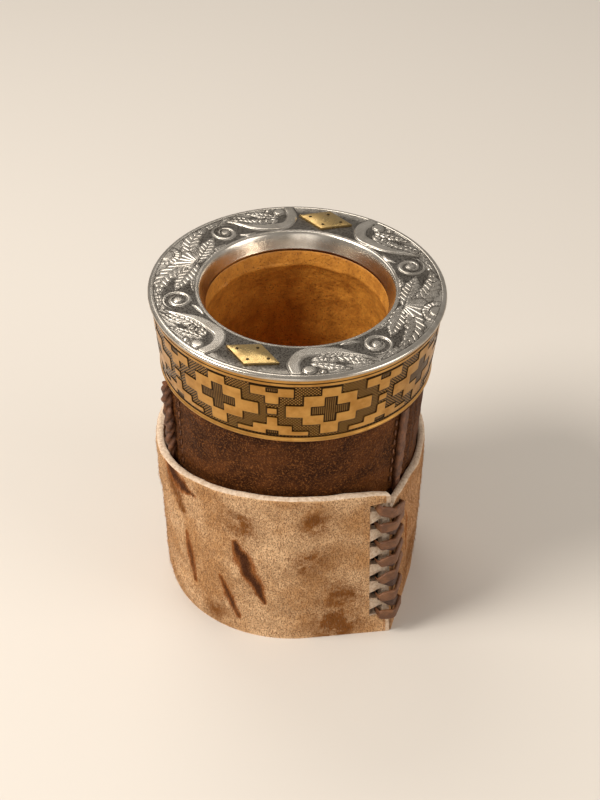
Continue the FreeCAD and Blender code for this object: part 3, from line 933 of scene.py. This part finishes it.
def pin_tree(material):
    """A low domed head on each point."""
    tree, n, given = new_tree("pin heads", {"Radius": 0.5 * MM, "Rise": 0.2 * MM})
    ball = n.add("GeometryNodeMeshUVSphere", {"Segments": 16, "Rings": 8, "Radius": 1.0}).outputs[0]
    size = n.join(given["Radius"], given["Radius"], given["Rise"])
    end_tree(n, n.copies(given["Geometry"], ball, size), material)
    return tree


def pin_pieces():
    """The four pin heads of each lozenge."""
    material = pin_brass()
    tree = pin_tree(material)
    for side in LOZENGES:
        middle, corners = lozenge_corners(side)
        places = np.array([middle + (c - middle) * PIN_SHARE for c in corners]) + (0, 0, LOZENGE_THICK)
        piece = add_mesh("pin_heads_" + side, leaned(places), np.zeros((0, 4), int), material)
        run_tree(piece, tree, {"Radius": 0.5 * MM, "Rise": 0.2 * MM})
        place(piece, "pin_metal", *[f"pin_{side}_{i}" for i in (1, 2, 3, 4)])


# ---------------------------------------------------------------- band

def band_tree(material):
    """Raises the band's stepped pattern: crossed diamonds, with stepped gables between them."""
    tree, n, given = new_tree("engraved band", BAND_SIZES)
    where = n.add("GeometryNodeInputPosition").outputs[0]
    x, y, z = n.parts(where)
    fall = n.math("DIVIDE", n.less(given["Top"], z), given["Height"])
    turn = n.times(n.math("ARCTAN2", y, x), 180 / math.pi)
    lap = n.math("DIVIDE", n.times(n.less(turn, given["First Angle"]), given["Repeats"]), 360)
    half_lap = n.size(n.less(n.math("FRACT", n.total(lap, 0.5)), 0.5))
    to_cross = n.times(half_lap, 45)
    to_gable = n.less(22.5, to_cross)

    def block(aside, half, top, bottom):
        """A box of the pattern: how deep a place lies in it, in millimetres. It is within half
        degrees of its middle, and between two shares of the band's height."""
        wide = n.times(n.less(half, aside), 0.75)
        under = n.times(n.less(fall, top), BAND_HEIGHT)
        over = n.times(n.less(bottom, fall), BAND_HEIGHT)
        return n.least(wide, under, over)

    def blocks(aside, *sizes):
        return n.most(*[block(aside, *size) for size in sizes])

    diamond = blocks(to_cross, (3.9, 0.130, 0.300), (10.6, 0.246, 0.450), (17.4, 0.404, 0.605),
                     (10.9, 0.550, 0.728), (3.8, 0.680, 0.885))
    hanging = ((8.5, 0.130, 0.280), (2.8, 0.200, 0.400))
    small_box = (2.1, 0.465, 0.570)
    rising = ((2.3, 0.610, 0.790), (8.0, 0.737, 0.870), (14.5, 0.825, 0.905))
    gables = blocks(to_gable, *hanging, small_box, *rising)
    borders = blocks(0.0, (30.0, -0.2, 0.108), (30.0, 0.928, 1.3))
    field = n.most(diamond, gables, borders)
    cross = blocks(to_cross, (7.45, 0.430, 0.561), (2.3, 0.289, 0.684))
    sunk = n.most(cross, blocks(to_gable, (2.1, 0.150, 0.205), (2.3, 0.838, 0.890)))
    groove = n.times(n.size(n.less(fall, 0.055)), BAND_HEIGHT)
    raised = n.times(n.span(field, -0.15, 0.15), n.span(sunk, -0.15, 0.15, 1.0, 0.4))
    high = n.times(raised, n.span(groove, 0.05, 0.25, 0.5, 1.0))
    out = n.vector("NORMALIZE", n.join(x, y, 0.0), (0, 0, 0))
    lift = n.times(n.less(high, 1.0), given["Relief"], n.span(n.carried("outer"), 0.5, 0.6))
    shape = given["Geometry"]
    for key, value in (("field", field), ("sunk", sunk), ("groove", groove)):
        shape = n.keep(shape, key, value)
    moved = n.add("GeometryNodeSetPosition", {"Geometry": shape, "Offset": n.scaled(out, lift)})
    end_tree(n, moved.outputs[0], material)
    return tree


def band_piece():
    """A tapered ring with a beaded foot, engraved all round."""
    low_inner = max(cover_radius(BAND_BOTTOM), SHOULDER_RADIUS) + 0.2
    low = low_inner + SHEET
    bead = ring_arc((low - 0.42, BAND_BOTTOM + SHEET / 2), 0.69, -52, 52, 6)
    wall = np.linspace((low, BAND_BOTTOM + SHEET), (BAND_TOP_RADIUS, BAND_TOP), 78)[1:]
    inner = np.linspace((BAND_TOP_RADIUS - SHEET, BAND_TOP), (low_inner, BAND_BOTTOM), 5)
    profile = np.concatenate([bead, wall, inner])
    angles = np.linspace(-180, 180, 1080, endpoint=False)
    points = ring(profile[None, :, 0], profile[None, :, 1], angles[:, None])
    faces, steps = grid_faces(len(angles), len(profile), True, True)
    heights = np.append(profile[:, 1], profile[0, 1])
    uv = np.stack([steps[..., 0] * (2 * math.pi * 43 / len(angles)), heights[steps[..., 1]]], -1)
    outer = np.zeros(points.shape[:2])
    outer[:, :len(bead) + len(wall)] = 1.0
    material = band_gold()
    piece = add_mesh("band_engraved", points, faces, material, {"outer": outer}, uv)
    run_tree(piece, band_tree(material), BAND_SIZES)
    upright = np.empty(len(piece.data.vertices) * 3, np.float32)
    piece.data.vertices.foreach_get("co", upright)
    set_down = leaned(upright.reshape(-1, 3).astype(float) / MM) * MM
    piece.data.vertices.foreach_set("co", set_down.astype(np.float32).ravel())
    crease(piece, 60)
    return place(piece, "band_brass", "band")


# ---------------------------------------------------------------- seams

def path_piece(name, points, marks, material):
    """A bare line of points, for a tree to work on."""
    mesh = bpy.data.meshes.new(name)
    edges = [(i, i + 1) for i in range(len(points) - 1)]
    mesh.from_pydata((np.array(points) * MM).tolist(), edges, [])
    write_numbers(mesh, marks)
    mesh.materials.append(material)
    return stand(name, mesh)


def strap_tree(material, name="strap along a line"):
    """A flat strap with rounded edges along a line, lying on the line's own outward direction."""
    tree, n, given = new_tree(name, {"Width": 0.0036, "Thickness": 0.0011, "Step": 0.0004})
    curve = n.even_curve(given, "Step")
    out = n.carried("out", "FLOAT_VECTOR")
    curve = n.add("GeometryNodeSetCurveNormal", {0: curve, "Normal": out}, mode="FREE").outputs[0]
    sides = {0: given["Thickness"], 1: given["Width"]}
    outline = n.add("GeometryNodeCurvePrimitiveQuadrilateral", sides, mode="RECTANGLE").outputs[0]
    rounding = {0: outline, "Count": 4, "Radius": n.times(given["Thickness"], 0.42)}
    outline = n.add("GeometryNodeFilletCurve", rounding, mode="POLY").outputs[0]
    end_tree(n, n.body(curve, outline), material)
    return tree


def twist_tree(material):
    """Strands laid round each other along a line."""
    tree, n, given = new_tree("twisted cord", {"Radius": 0.0013, "Lay": 0.0062, "Step": 0.00025})
    curve = n.even_curve(given, "Step")
    way = n.add("GeometryNodeSplineParameter").outputs["Length"]
    turn = n.times(n.math("DIVIDE", way, given["Lay"]), 2 * math.pi)
    curve = n.add("GeometryNodeSetCurveTilt", {0: curve, "Tilt": turn}).outputs[0]
    circle = n.add("GeometryNodeCurvePrimitiveCircle", {"Resolution": 28, "Radius": 1.0}, mode="RADIUS")
    spot = n.add("GeometryNodeInputPosition").outputs[0]
    px, py, _ = n.parts(spot)
    lobes = n.size(n.math("COSINE", n.times(n.math("ARCTAN2", py, px), 1.5)))
    size = n.times(n.total(0.66, n.times(lobes, 0.36)), given["Radius"])
    lobed = {0: circle.outputs[0], "Position": n.scaled(spot, size)}
    outline = n.add("GeometryNodeSetPosition", lobed).outputs[0]
    end_tree(n, n.body(curve, outline), material)
    return tree


def stitch_tree(material):
    """Short stitches one after another along a line."""
    tree, n, given = new_tree("row of stitches", {"Spacing": 0.004, "Length": 0.0024, "Thickness": 0.0007})
    curve = n.even_curve(given, "Spacing")
    way = n.add("GeometryNodeInputTangent").outputs[0]
    turn = n.add("FunctionNodeAlignRotationToVector", {"Vector": way}, axis="X").outputs[0]
    ball = n.add("GeometryNodeMeshUVSphere", {"Segments": 10, "Rings": 6, "Radius": 0.5}).outputs[0]
    size = n.join(given["Length"], given["Thickness"], given["Thickness"])
    end_tree(n, n.copies(curve, ball, size, Rotation=turn), material)
    return tree


def cover_line(angle, low, high, off, steps=60, wander=0.0, seed=1):
    """Points up the cover at an angle, standing off it, and the outward direction at each."""
    z = np.linspace(low, high, steps)
    turn = angle + wander * np.sin(z * 0.45 + seed) + 0.6 * wander * np.sin(z * 1.1 + 2 * seed)
    points = ring(cover_radius(z) + off, z, turn)
    return leaned(points), ring(np.ones(steps), 0.0, turn)


def seam_pieces():
    """Left: a lumpy twisted cord. Right and back: flat welts with stitches beside them."""
    material = thread_leather()
    twist = twist_tree(material)
    strap = strap_tree(material, "welt along a line")
    stitches = stitch_tree(material)
    top = BAND_BOTTOM - 0.35

    def comes_out(share):
        """0 where a cord is pressed under the sleeve, 1 above it."""
        return smooth(share * (top - CORD_LOW), 5.5, 8.5)

    points, _ = cover_line(SEAM_LEFT, CORD_LOW, top, 1.35, 120, 0.5, 2)
    share = np.linspace(0, 1, len(points))
    swell = 1 + 0.10 * np.sin(share * 41) + 0.07 * np.sin(share * 23 + 1)
    swell *= 0.45 + 0.55 * comes_out(share)
    piece = path_piece("seam_cord_left_twisted", points, {"wide": swell}, material)
    run_tree(piece, twist, {"Radius": 1.75 * MM, "Lay": 13.0 * MM, "Step": 0.3 * MM})
    place(piece, "cord_leather", "seam_cord_left")

    for name, angle, wide, thick, off in (
        ("right", SEAM_RIGHT, 3.2, 1.6, 0.80),
        ("back", SEAM_BACK, 2.8, 0.8, 0.38),
    ):
        points, out = cover_line(angle, CORD_LOW, top, off, 80, 0.15, 3)
        share = np.linspace(0, 1, len(points))
        even = 1 + 0.05 * np.sin(share * 37) + 0.04 * np.sin(share * 61)
        even *= 0.8 + 0.2 * comes_out(share)
        piece = path_piece(f"seam_cord_{name}_welt", points, {"wide": even, "out": out}, material)
        run_tree(piece, strap, {"Width": wide * MM, "Thickness": thick * MM, "Step": 0.5 * MM})
        crease(piece, 50)
        place(piece, "cord_leather", "seam_cord_" + name)

    for name, angle, off in (
        ("left", SEAM_LEFT + 8.9, 0.02),
        ("right", SEAM_RIGHT - 3.9, 0.12),
        ("back", SEAM_BACK - 3.6, 0.1),
    ):
        points, out = cover_line(angle, 56.5, top - 0.6, off, 60)
        piece = path_piece("stitches_" + name, points, {"out": out}, material)
        run_tree(piece, stitches, {"Spacing": 3.6 * MM, "Length": 2.3 * MM, "Thickness": 0.62 * MM})
        place(piece, "cord_leather")


# ---------------------------------------------------------------- sleeve

def sleeve_radii(z):
    """The sleeve's outside at height z: radius of the round, and reach of the point."""
    lean = SLEEVE_HEIGHT * math.sin(math.radians(LEAN))
    top = cover_radius(SLEEVE_HEIGHT) + lean + SLEEVE_ROOM + SLEEVE_THICK
    share = z / SLEEVE_HEIGHT
    radius = top - SLEEVE_FLARE * (1 - share)
    return radius, radius + POINT_OUT_FOOT + (POINT_OUT_TOP - POINT_OUT_FOOT) * share


def top_edge(x, y):
    """Height of the sleeve's top edge over a place on it, seen from its axis."""
    flank, point = sleeve_radii(SLEEVE_HEIGHT)
    arch = (flank ** 2 + TOP_SAG ** 2) / (2 * TOP_SAG)
    high = math.radians(TOP_HIGH_ANGLE)
    aside = y * math.cos(high) - x * math.sin(high)
    arched = SLEEVE_HEIGHT - arch + np.sqrt(arch ** 2 - aside ** 2)
    inside = flank - SLEEVE_THICK
    far_aside = inside * math.sin(math.radians(POINT_ANGLE) - high)
    far_height = SLEEVE_HEIGHT - arch + math.sqrt(arch ** 2 - far_aside ** 2)
    slope = (far_height - LOW_END_HEIGHT) / (point + inside)
    turn = math.radians(POINT_ANGLE)
    reach = x * math.cos(turn) + y * math.sin(turn)
    beyond = y * math.cos(turn) - x * math.sin(turn)
    flat = LOW_END_HEIGHT + (point - reach) * slope
    return np.where(beyond > 0, np.minimum(arched, flat), arched)


def wall_places(s, end, z):
    """Places on the sleeve's outside: s is the way along it from the point, clockwise, end its
    length. Gives x and y from the axis, and the outward direction."""
    radius, point = sleeve_radii(z)
    straight = np.sqrt(point ** 2 - radius ** 2)
    spread = np.arccos(radius / point)
    tip = math.radians(POINT_ANGLE)
    turn = tip - spread - (s - straight) / radius
    turn = np.where(s < straight, tip - spread, turn)
    turn = np.where(end - s < straight, tip + spread, turn)
    beyond = np.clip(end - s - straight, None, 0.0) - np.clip(s - straight, None, 0.0)
    x = radius * np.cos(turn) + beyond * np.cos(turn + math.pi / 2)
    y = radius * np.sin(turn) + beyond * np.sin(turn + math.pi / 2)
    return x, y, np.cos(turn), np.sin(turn)


def way_round(z):
    """Length of the sleeve's outside at height z."""
    radius, point = sleeve_radii(z)
    return 2 * np.sqrt(point ** 2 - radius ** 2) + radius * (2 * math.pi - 2 * np.arccos(radius / point))


def hide_rows():
    """Heights of the rows at the slotted end, shares of the way from there to the top edge, and
    which rows bound a slot's cells."""
    rows = list(np.linspace(0, SLOT_LOWEST, 11))
    in_slot = [False] * 10
    for i in range(SLOTS):
        low = SLOT_LOWEST + SLOT_PITCH * i
        rows += list(np.linspace(low, low + SLOT_HIGH, 5)[1:])
        in_slot += [True] * 4
        if i < SLOTS - 1:
            rows += list(np.linspace(low + SLOT_HIGH, low + SLOT_PITCH, 9)[1:])
            in_slot += [False] * 8
    shares = np.linspace(0, 1, 10)[1:]
    return np.array(rows), shares, np.array(in_slot + [False] * 9)


def narrowed(s, z):
    """How far the tongues between the slots draw together towards their free ends."""
    step = (z - SLOT_LOWEST) % SLOT_PITCH
    middle = SLOT_HIGH + 0.40 * (SLOT_PITCH - SLOT_HIGH)
    off = np.where(step < SLOT_HIGH / 2, step + SLOT_PITCH - middle, step - middle)
    share = smooth(TONGUE_LONG - s, 0.0, 4.6) * (s > 2.0)
    between = (z > SLOT_LOWEST + 0.6) & (z < SLOT_HIGHEST - 0.6)
    pull = np.where(np.abs(step - SLOT_HIGH / 2) < 0.3, 0.0, -0.42 * off)
    return np.where(between, pull * share, 0.0)


def hide_marks(angle, height):
    """Where the hair is streaked, browner or redder."""
    def drawn(points, half, seed):
        """A ragged brush stroke through places given as degrees and height."""
        line = through(points, 6)
        share, side = follow(angle * 0.75, height, line * (0.75, 1.0))
        rag = ripple(np.stack([angle * 0.7, height * 0.35, np.full(angle.shape, seed)], -1), 3.0, seed)
        wide = np.interp(share, np.linspace(0, 1, len(half)), half)
        return 1 - smooth(np.abs(side) + 0.22 * rag * wide, 0.15 * wide, 2.3 * wide)

    streak = np.zeros(angle.shape)
    for much, points, half, seed in STREAKS:
        streak = np.maximum(streak, much * drawn(points, half, seed))
    brown = 0.8 * drawn([(-150, 52), (-146, 46), (-143, 42)], [2.6, 2.2, 1.0], 42)
    for a, h, wide, much in BROWN_CLOUDS:
        near = np.hypot(((angle - a + 180) % 360 - 180) * 0.72, (height - h) * 0.9)
        brown = np.maximum(brown, 1.5 * much * np.exp(-(near / wide) ** 2))
    warm = np.where((angle > -52) & (angle < 30), 1 - smooth(angle, 0, 30), 0.0) * 0.75
    return {"streak": streak, "brown": brown, "warm": warm}


def hide_piece():
    """The strip of hide bent round to its point, with its slots cut through."""
    rows, shares, in_slot = hide_rows()
    left = np.array([SLIT_HALF, 0.9, 1.6, 2.1, SLOT_NEAR, 3.3, 4.0, 4.7, 5.4, 6.1, 6.75, SLOT_FAR,
                     7.7, 8.6, 9.6, 10.7, END_LONG])
    right = np.array([SLIT_HALF, 0.9, 1.6, 2.4, 3.3, 4.2, 5.2, 6.2, 7.2, 8.3, 9.5, 10.7, END_LONG])
    between = np.linspace(0, 1, 292)[1:-1]
    count = len(left) + len(between) + len(right)
    levels = len(rows) + len(shares)

    def strip(z, inset):
        """Columns from the left end round to the right one, at heights z[column, row]."""
        end = way_round(z)
        radius, point = sleeve_radii(z)
        s = np.concatenate([
            np.tile(left[:, None], (1, levels)),
            END_LONG + between[:, None] * (end[len(left):-len(right)] - 2 * END_LONG),
            end[-len(right):] - right[::-1, None],
        ])
        if inset:
            ways = inset * np.sqrt(point ** 2 - radius ** 2) / radius
            near_left = np.clip(1 - (s - SLIT_HALF) / 8.0, 0, 1)
            near_right = np.clip(1 - (end - s - SLIT_HALF) / 8.0, 0, 1)
            s = s + ways * near_left - ways * near_right
        x, y, nx, ny = wall_places(s, end, z)
        return s, end, x - inset * nx, y - inset * ny, nx, ny

    z = np.tile(np.concatenate([rows, rows[-1] + shares * (60.0 - rows[-1])]), (count, 1))
    even = np.concatenate([rows / 60.0, rows[-1] / 60.0 + shares * (1 - rows[-1] / 60.0)])
    mix = smooth(np.arange(count), len(left) + 10, len(left) + 60)[:, None]
    for _ in range(3):
        _, _, x, y, _, _ = strip(z, 0.0)
        top = top_edge(x[:, -1], y[:, -1])[:, None] - EDGE_ROUND
        slotted = np.concatenate([
            np.tile(rows, (count, 1)), rows[-1] + shares[None, :] * (top - rows[-1])], axis=1)
        z = slotted * (1 - mix) + even[None, :] * top * mix

    s, end, x, y, nx, ny = strip(z, 0.0)
    angle = np.degrees(np.arctan2(y, x))
    spot = np.stack([x, y, z], -1)
    tongue = (s < TONGUE_LONG) & (z > SLOT_LOWEST - 0.1) & (z < rows[-1] + 0.1)
    sink = np.where(tongue, 0.35 + 0.75 * smooth(TONGUE_LONG - s, 0.0, 4.0), 0.0)
    z = z + narrowed(s, z)
    lumps = 0.22 * ripple(spot, 26.0, 21) + 0.10 * ripple(spot, 8.0, 22)
    lumps += 0.9 * np.exp(-(((angle + 140) * 0.7) / 9.0) ** 2 - ((z - 6.0) / 8.0) ** 2)
    lumps *= smooth(s, 7.0, 10.0) * smooth(end - s, 0.5, 5.0) * smooth(z, -1.0, 4.0)
    raised = 0.18 * np.exp(-((s - 7.3) / 0.7) ** 2) * smooth(z, 4, 8) * (1 - smooth(z, 54, 58))
    out = lumps + raised - sink
    outer = np.stack([x + nx * out, y + ny * out, z], -1)
    _, _, xi, yi, nxi, nyi = strip(z, SLEEVE_THICK)
    inner = np.stack([xi - nxi * sink * 0.4, yi - nyi * sink * 0.4, z], -1)
    wave = 0.16 * ripple(spot[:, -1], 10.0, 24)[:, None]

    def crown(share_in, rise):
        """A line of points along the top edge, share_in of the way through the hide."""
        line = outer[:, -1] * (1 - share_in) + inner[:, -1] * share_in
        return line + np.concatenate([np.zeros((count, 2)), rise + wave], axis=1)

    crowns = np.stack([crown(0.10, 0.28), crown(0.35, 0.46), crown(0.65, 0.46), crown(0.90, 0.28)], axis=1)
    loop = np.concatenate([outer, crowns, inner[:, ::-1]], axis=1)
    loop[..., 0] += FOOT_X
    long = loop.shape[1]

    def round_loop(values, beyond):
        """Numbers of the outer face, with one number for the top edge and the inner face."""
        return np.concatenate([values, np.full((count, long - levels), beyond)], axis=1)

    raw = np.where(tongue, 0.72, 0.0)
    raw = np.maximum(raw, np.where(s < 2.0, 0.5, 0.0))
    numbers = {"raw": round_loop(raw, 1.0)}
    for key, values in hide_marks(angle, z).items():
        numbers[key] = round_loop(values, 0.0)
    numbers["fur"] = round_loop(1 - smooth(raw, 0.1, 0.3), 0.0)

    faces, steps = grid_faces(count, long, False, True)
    i = steps[:, 0, 0]
    j = steps[:, 0, 1]
    in_front = j < levels - 1
    row = np.where(in_front, j, long - 2 - j)
    first, last = np.searchsorted(left, (SLOT_NEAR, SLOT_FAR))
    hole = (i >= first) & (i < last) & (row >= 0) & (row < levels - 1)
    hole &= in_slot[np.clip(row, 0, levels - 2)]
    cells = set(zip(i[hole & in_front].tolist(), j[hole & in_front].tolist()))

    def corner(a, b, inside):
        return a * long + (long - 1 - b if inside else b)

    def across(p, q):
        """The wall through the hide between two places."""
        return [corner(*p, False), corner(*q, False), corner(*q, True), corner(*p, True)]

    walls = []
    for a, b in cells:
        for beyond, p, q in (
            ((a - 1, b), (a, b + 1), (a, b)), ((a + 1, b), (a + 1, b), (a + 1, b + 1)),
            ((a, b - 1), (a, b), (a + 1, b)), ((a, b + 1), (a + 1, b + 1), (a, b + 1)),
        ):
            if beyond not in cells:
                walls.append(across(p, q))
    for a, way in ((0, 1), (count - 1, -1)):
        for b in range(levels - 1):
            walls.append(across((a, b), (a, b + 1))[::way])
        cap = [a * long + levels - 1 + k for k in range(6)]
        walls.append([cap[k] for k in (0, 1, 2, 3)[::way]])
        walls.append([cap[k] for k in (0, 3, 4, 5)[::way]])
    faces = np.concatenate([faces[~hole][:, ::-1], walls])
    piece = add_mesh("hide_sleeve_sheet", loop, faces, hide_skin(), numbers)
    crease(piece, 60)
    return place(piece, "hide", "hide_sleeve")


def hair_tree(material):
    """Short hairs lying down over the mesh, where it is furry."""
    tree, n, given = new_tree("lying hair", HAIR_SIZES)
    high = n.parts(n.add("GeometryNodeInputPosition").outputs[0])[2]
    off_table = n.span(high, 0.0022, 0.0024)
    density = n.times(n.carried("fur"), off_table, given["Hairs"])
    inputs = {"Mesh": given["Geometry"], "Density": density, "Seed": given["Seed"]}
    spread = n.add("GeometryNodeDistributePointsOnFaces", inputs)
    down = n.add("FunctionNodeRandomValue", data_type="FLOAT_VECTOR")
    down.inputs[0].default_value = (-0.28, -0.28, -1.15)
    down.inputs[1].default_value = (0.28, 0.28, -0.85)
    n.put(down.inputs["Seed"], given["Seed"])
    way = n.vector("ADD", n.scaled(spread.outputs["Normal"], given["Lift"]), down.outputs[0])
    turn = n.add("FunctionNodeAlignRotationToVector", {"Vector": way}, axis="Z").outputs[0]
    cone = {"Vertices": 3, "Radius Top": 0.0, "Radius Bottom": 0.5, "Depth": 1.0}
    blade = n.add("GeometryNodeMeshCone", cone, fill_type="NGON").outputs[0]
    chance = n.add("FunctionNodeRandomValue", data_type="FLOAT")
    chance.inputs[2].default_value = 0.6
    chance.inputs[3].default_value = 1.3
    long = n.times(chance.outputs[1], given["Length"])
    size = n.join(given["Width"], given["Width"], long)
    hairs = n.copies(spread.outputs[0], blade, size, Rotation=turn)
    luck = n.add("FunctionNodeRandomValue", {"Seed": 3}, data_type="FLOAT")
    end_tree(n, n.keep(hairs, "chance", luck.outputs[1], "INSTANCE"), material)
    return tree


def hair_piece(sheet):
    """The nap of the hide, grown on a copy of its sheet."""
    piece = stand("hide_sleeve_hair", sheet.data.copy())
    run_tree(piece, hair_tree(hide_hair()), HAIR_SIZES)
    return place(piece, "hide")


# ---------------------------------------------------------------- lacing

def flat_way(angle):
    """The level direction at an angle in radians."""
    return np.array([math.cos(angle), math.sin(angle), 0])


def point_frame(z):
    """The sleeve's point at height z, and for both sides of it the way along the wall and out."""
    radius, point = sleeve_radii(z)
    spread = math.acos(radius / point)
    tip = math.radians(POINT_ANGLE)
    sides = {
        side: (flat_way(tip + side * (spread + math.pi / 2)), flat_way(tip + side * spread))
        for side in (-1, 1)
    }
    return point * flat_way(tip) + (0, 0, z), sides, spread


def pass_path(left_z, right_z, lift, left_reach, right_reach, dives):
    """The way of one pass of the thong, from its slot over the point to the other end."""
    total = left_reach + right_reach
    rows = []
    outs = []

    def add(side, distance, off):
        share = (left_reach + side * distance) / total
        z = left_z + (right_z - left_z) * np.clip(share, -0.1, 1.1)
        tip, sides, _ = point_frame(z)
        along, out = sides[side]
        rows.append(tip + along * distance + out * off)
        outs.append(out)

    if dives:
        add(-1, left_reach + 1.1, -1.9)
        add(-1, left_reach + 0.8, -0.6)
    for distance in np.linspace(left_reach, 0.5, 7):
        add(-1, distance, lift)
    tip, _, spread = point_frame(left_z + (right_z - left_z) * left_reach / total)
    for turn in np.linspace(-1, 1, 7):
        out = flat_way(math.radians(POINT_ANGLE) + turn * spread)
        rows.append(tip + out * lift)
        outs.append(out)
    for distance in np.linspace(0.5, right_reach, 9):
        add(1, distance, lift)
    if dives:
        add(1, right_reach + 0.5, lift * 0.2)
        add(1, right_reach + 0.8, -0.7)
    rows = np.array(rows)
    rows[:, 0] += FOOT_X
    return rows, np.array(outs)


def lacing_piece():
    """The thong: an upper pass from each slot, and a lower one with painted shade towards the next pass's
    end.
    """
    material = lace_leather()
    tree = strap_tree(material)
    middle = THONG_THICK / 2
    over = THONG_GAP + THONG_STACK + middle
    under = THONG_GAP + middle * 0.9
    lefts = [SLOT_HIGHEST - SLOT_PITCH * i - LACE_DROP for i in range(SLOTS)]
    rights = [z + rise for z, rise in zip(lefts, LACE_RISES)]
    made = []
    for i in range(SLOTS):
        path, out = pass_path(lefts[i], rights[i], over, LACE_LEFT, LACE_RIGHT, True)
        steps = np.linspace(0, 1, len(path))
        wide = (1 + 0.06 * np.sin(steps * 9 + i)) * (0.62 + 0.38 * smooth(steps, 0.0, 0.16))
        made.append((f"upper_{i}", path, out, wide, 0.0))
        if i < SLOTS - 1:
            path, out = pass_path(lefts[i], rights[i + 1], under, LACE_LEFT - 0.4, LACE_RIGHT - 0.5, False)
            # The last number, 1.0, gives a lower pass its painted shade
            made.append((f"lower_{i}", path, out, np.full(len(path), 0.80), 1.0))
    parts = []
    for name, path, out, wide, low in made:
        # under: 1 on a lower pass, where its painted shade is laid
        marks = {"out": out, "wide": wide, "under": np.full(len(path), low)}
        piece = path_piece("lace_" + name, path, marks, material)
        run_tree(piece, tree, {"Width": THONG_WIDE * MM, "Thickness": THONG_THICK * MM, "Step": 0.35 * MM})
        parts.append(piece)
    return place(merged("lacing_thong", parts), "lace_leather", "lacing")


def merged(name, parts):
    """Joins several pieces of one kind into the first."""
    with bpy.context.temp_override(active_object=parts[0], selected_editable_objects=parts):
        bpy.ops.object.join()
    parts[0].name = name
    parts[0].data.name = name
    crease(parts[0], 50)
    return parts[0]


# ---------------------------------------------------------------- studio

def studio():
    """A plain pale table, soft lamps from the upper left, and the camera."""
    material, n, _ = new_material("cream_table")
    dress(material, n, color(0.635, 0.578, 0.510), 0.9, specular=0.1)
    mesh = bpy.data.meshes.new("table")
    mesh.from_pydata([(-6, -6, 0), (6, -6, 0), (6, 6, 0), (-6, 6, 0)], [], [(0, 1, 2, 3)])
    mesh.materials.append(material)
    stand("table", mesh)

    world = bpy.data.worlds.new("room")
    bpy.context.scene.world = world
    world.use_nodes = True
    w = Nodes(world.node_tree)
    seen = w.add("ShaderNodeLightPath").outputs["Is Camera Ray"]
    back = world.node_tree.nodes["Background"]
    w.put(back.inputs["Color"], w.blend(seen, color(1.0, 0.97, 0.93), color(0.80, 0.72, 0.635)))
    w.put(back.inputs["Strength"], w.span(seen, 0.0, 1.0, 0.36, 1.0))

    for name, spot, size, power in LAMPS:
        lamp = bpy.data.lights.new(name, "AREA")
        lamp.shape = "DISK"
        lamp.size = size
        lamp.energy = power
        lamp.color = (1.0, 0.97, 0.93)
        light = stand(name, lamp)
        light.location = spot
        aim = Vector(np.subtract((0, 0, 0.05), spot))
        light.rotation_euler = aim.to_track_quat("-Z", "Y").to_euler()

    camera = bpy.data.cameras.new("camera")
    camera.lens = 72.0
    camera.clip_start = 0.01
    camera.clip_end = 20.0
    eye = stand("camera", camera)
    eye.location = (0.2 * MM, -395.0 * MM, 386.7 * MM)
    eye.rotation_euler = (math.radians(50.93), 0.0, math.radians(-0.11))
    bpy.context.scene.camera = eye
    bpy.context.scene.view_settings.view_transform = "Standard"


gourd_piece()
cover_piece()
rim_piece()
brass = lozenge_brass()
for lozenge_side in LOZENGES:
    lozenge_piece(lozenge_side, brass)
pin_pieces()
band_piece()
seam_pieces()
hide = hide_piece()
hair_piece(hide)
lacing_piece()
studio()
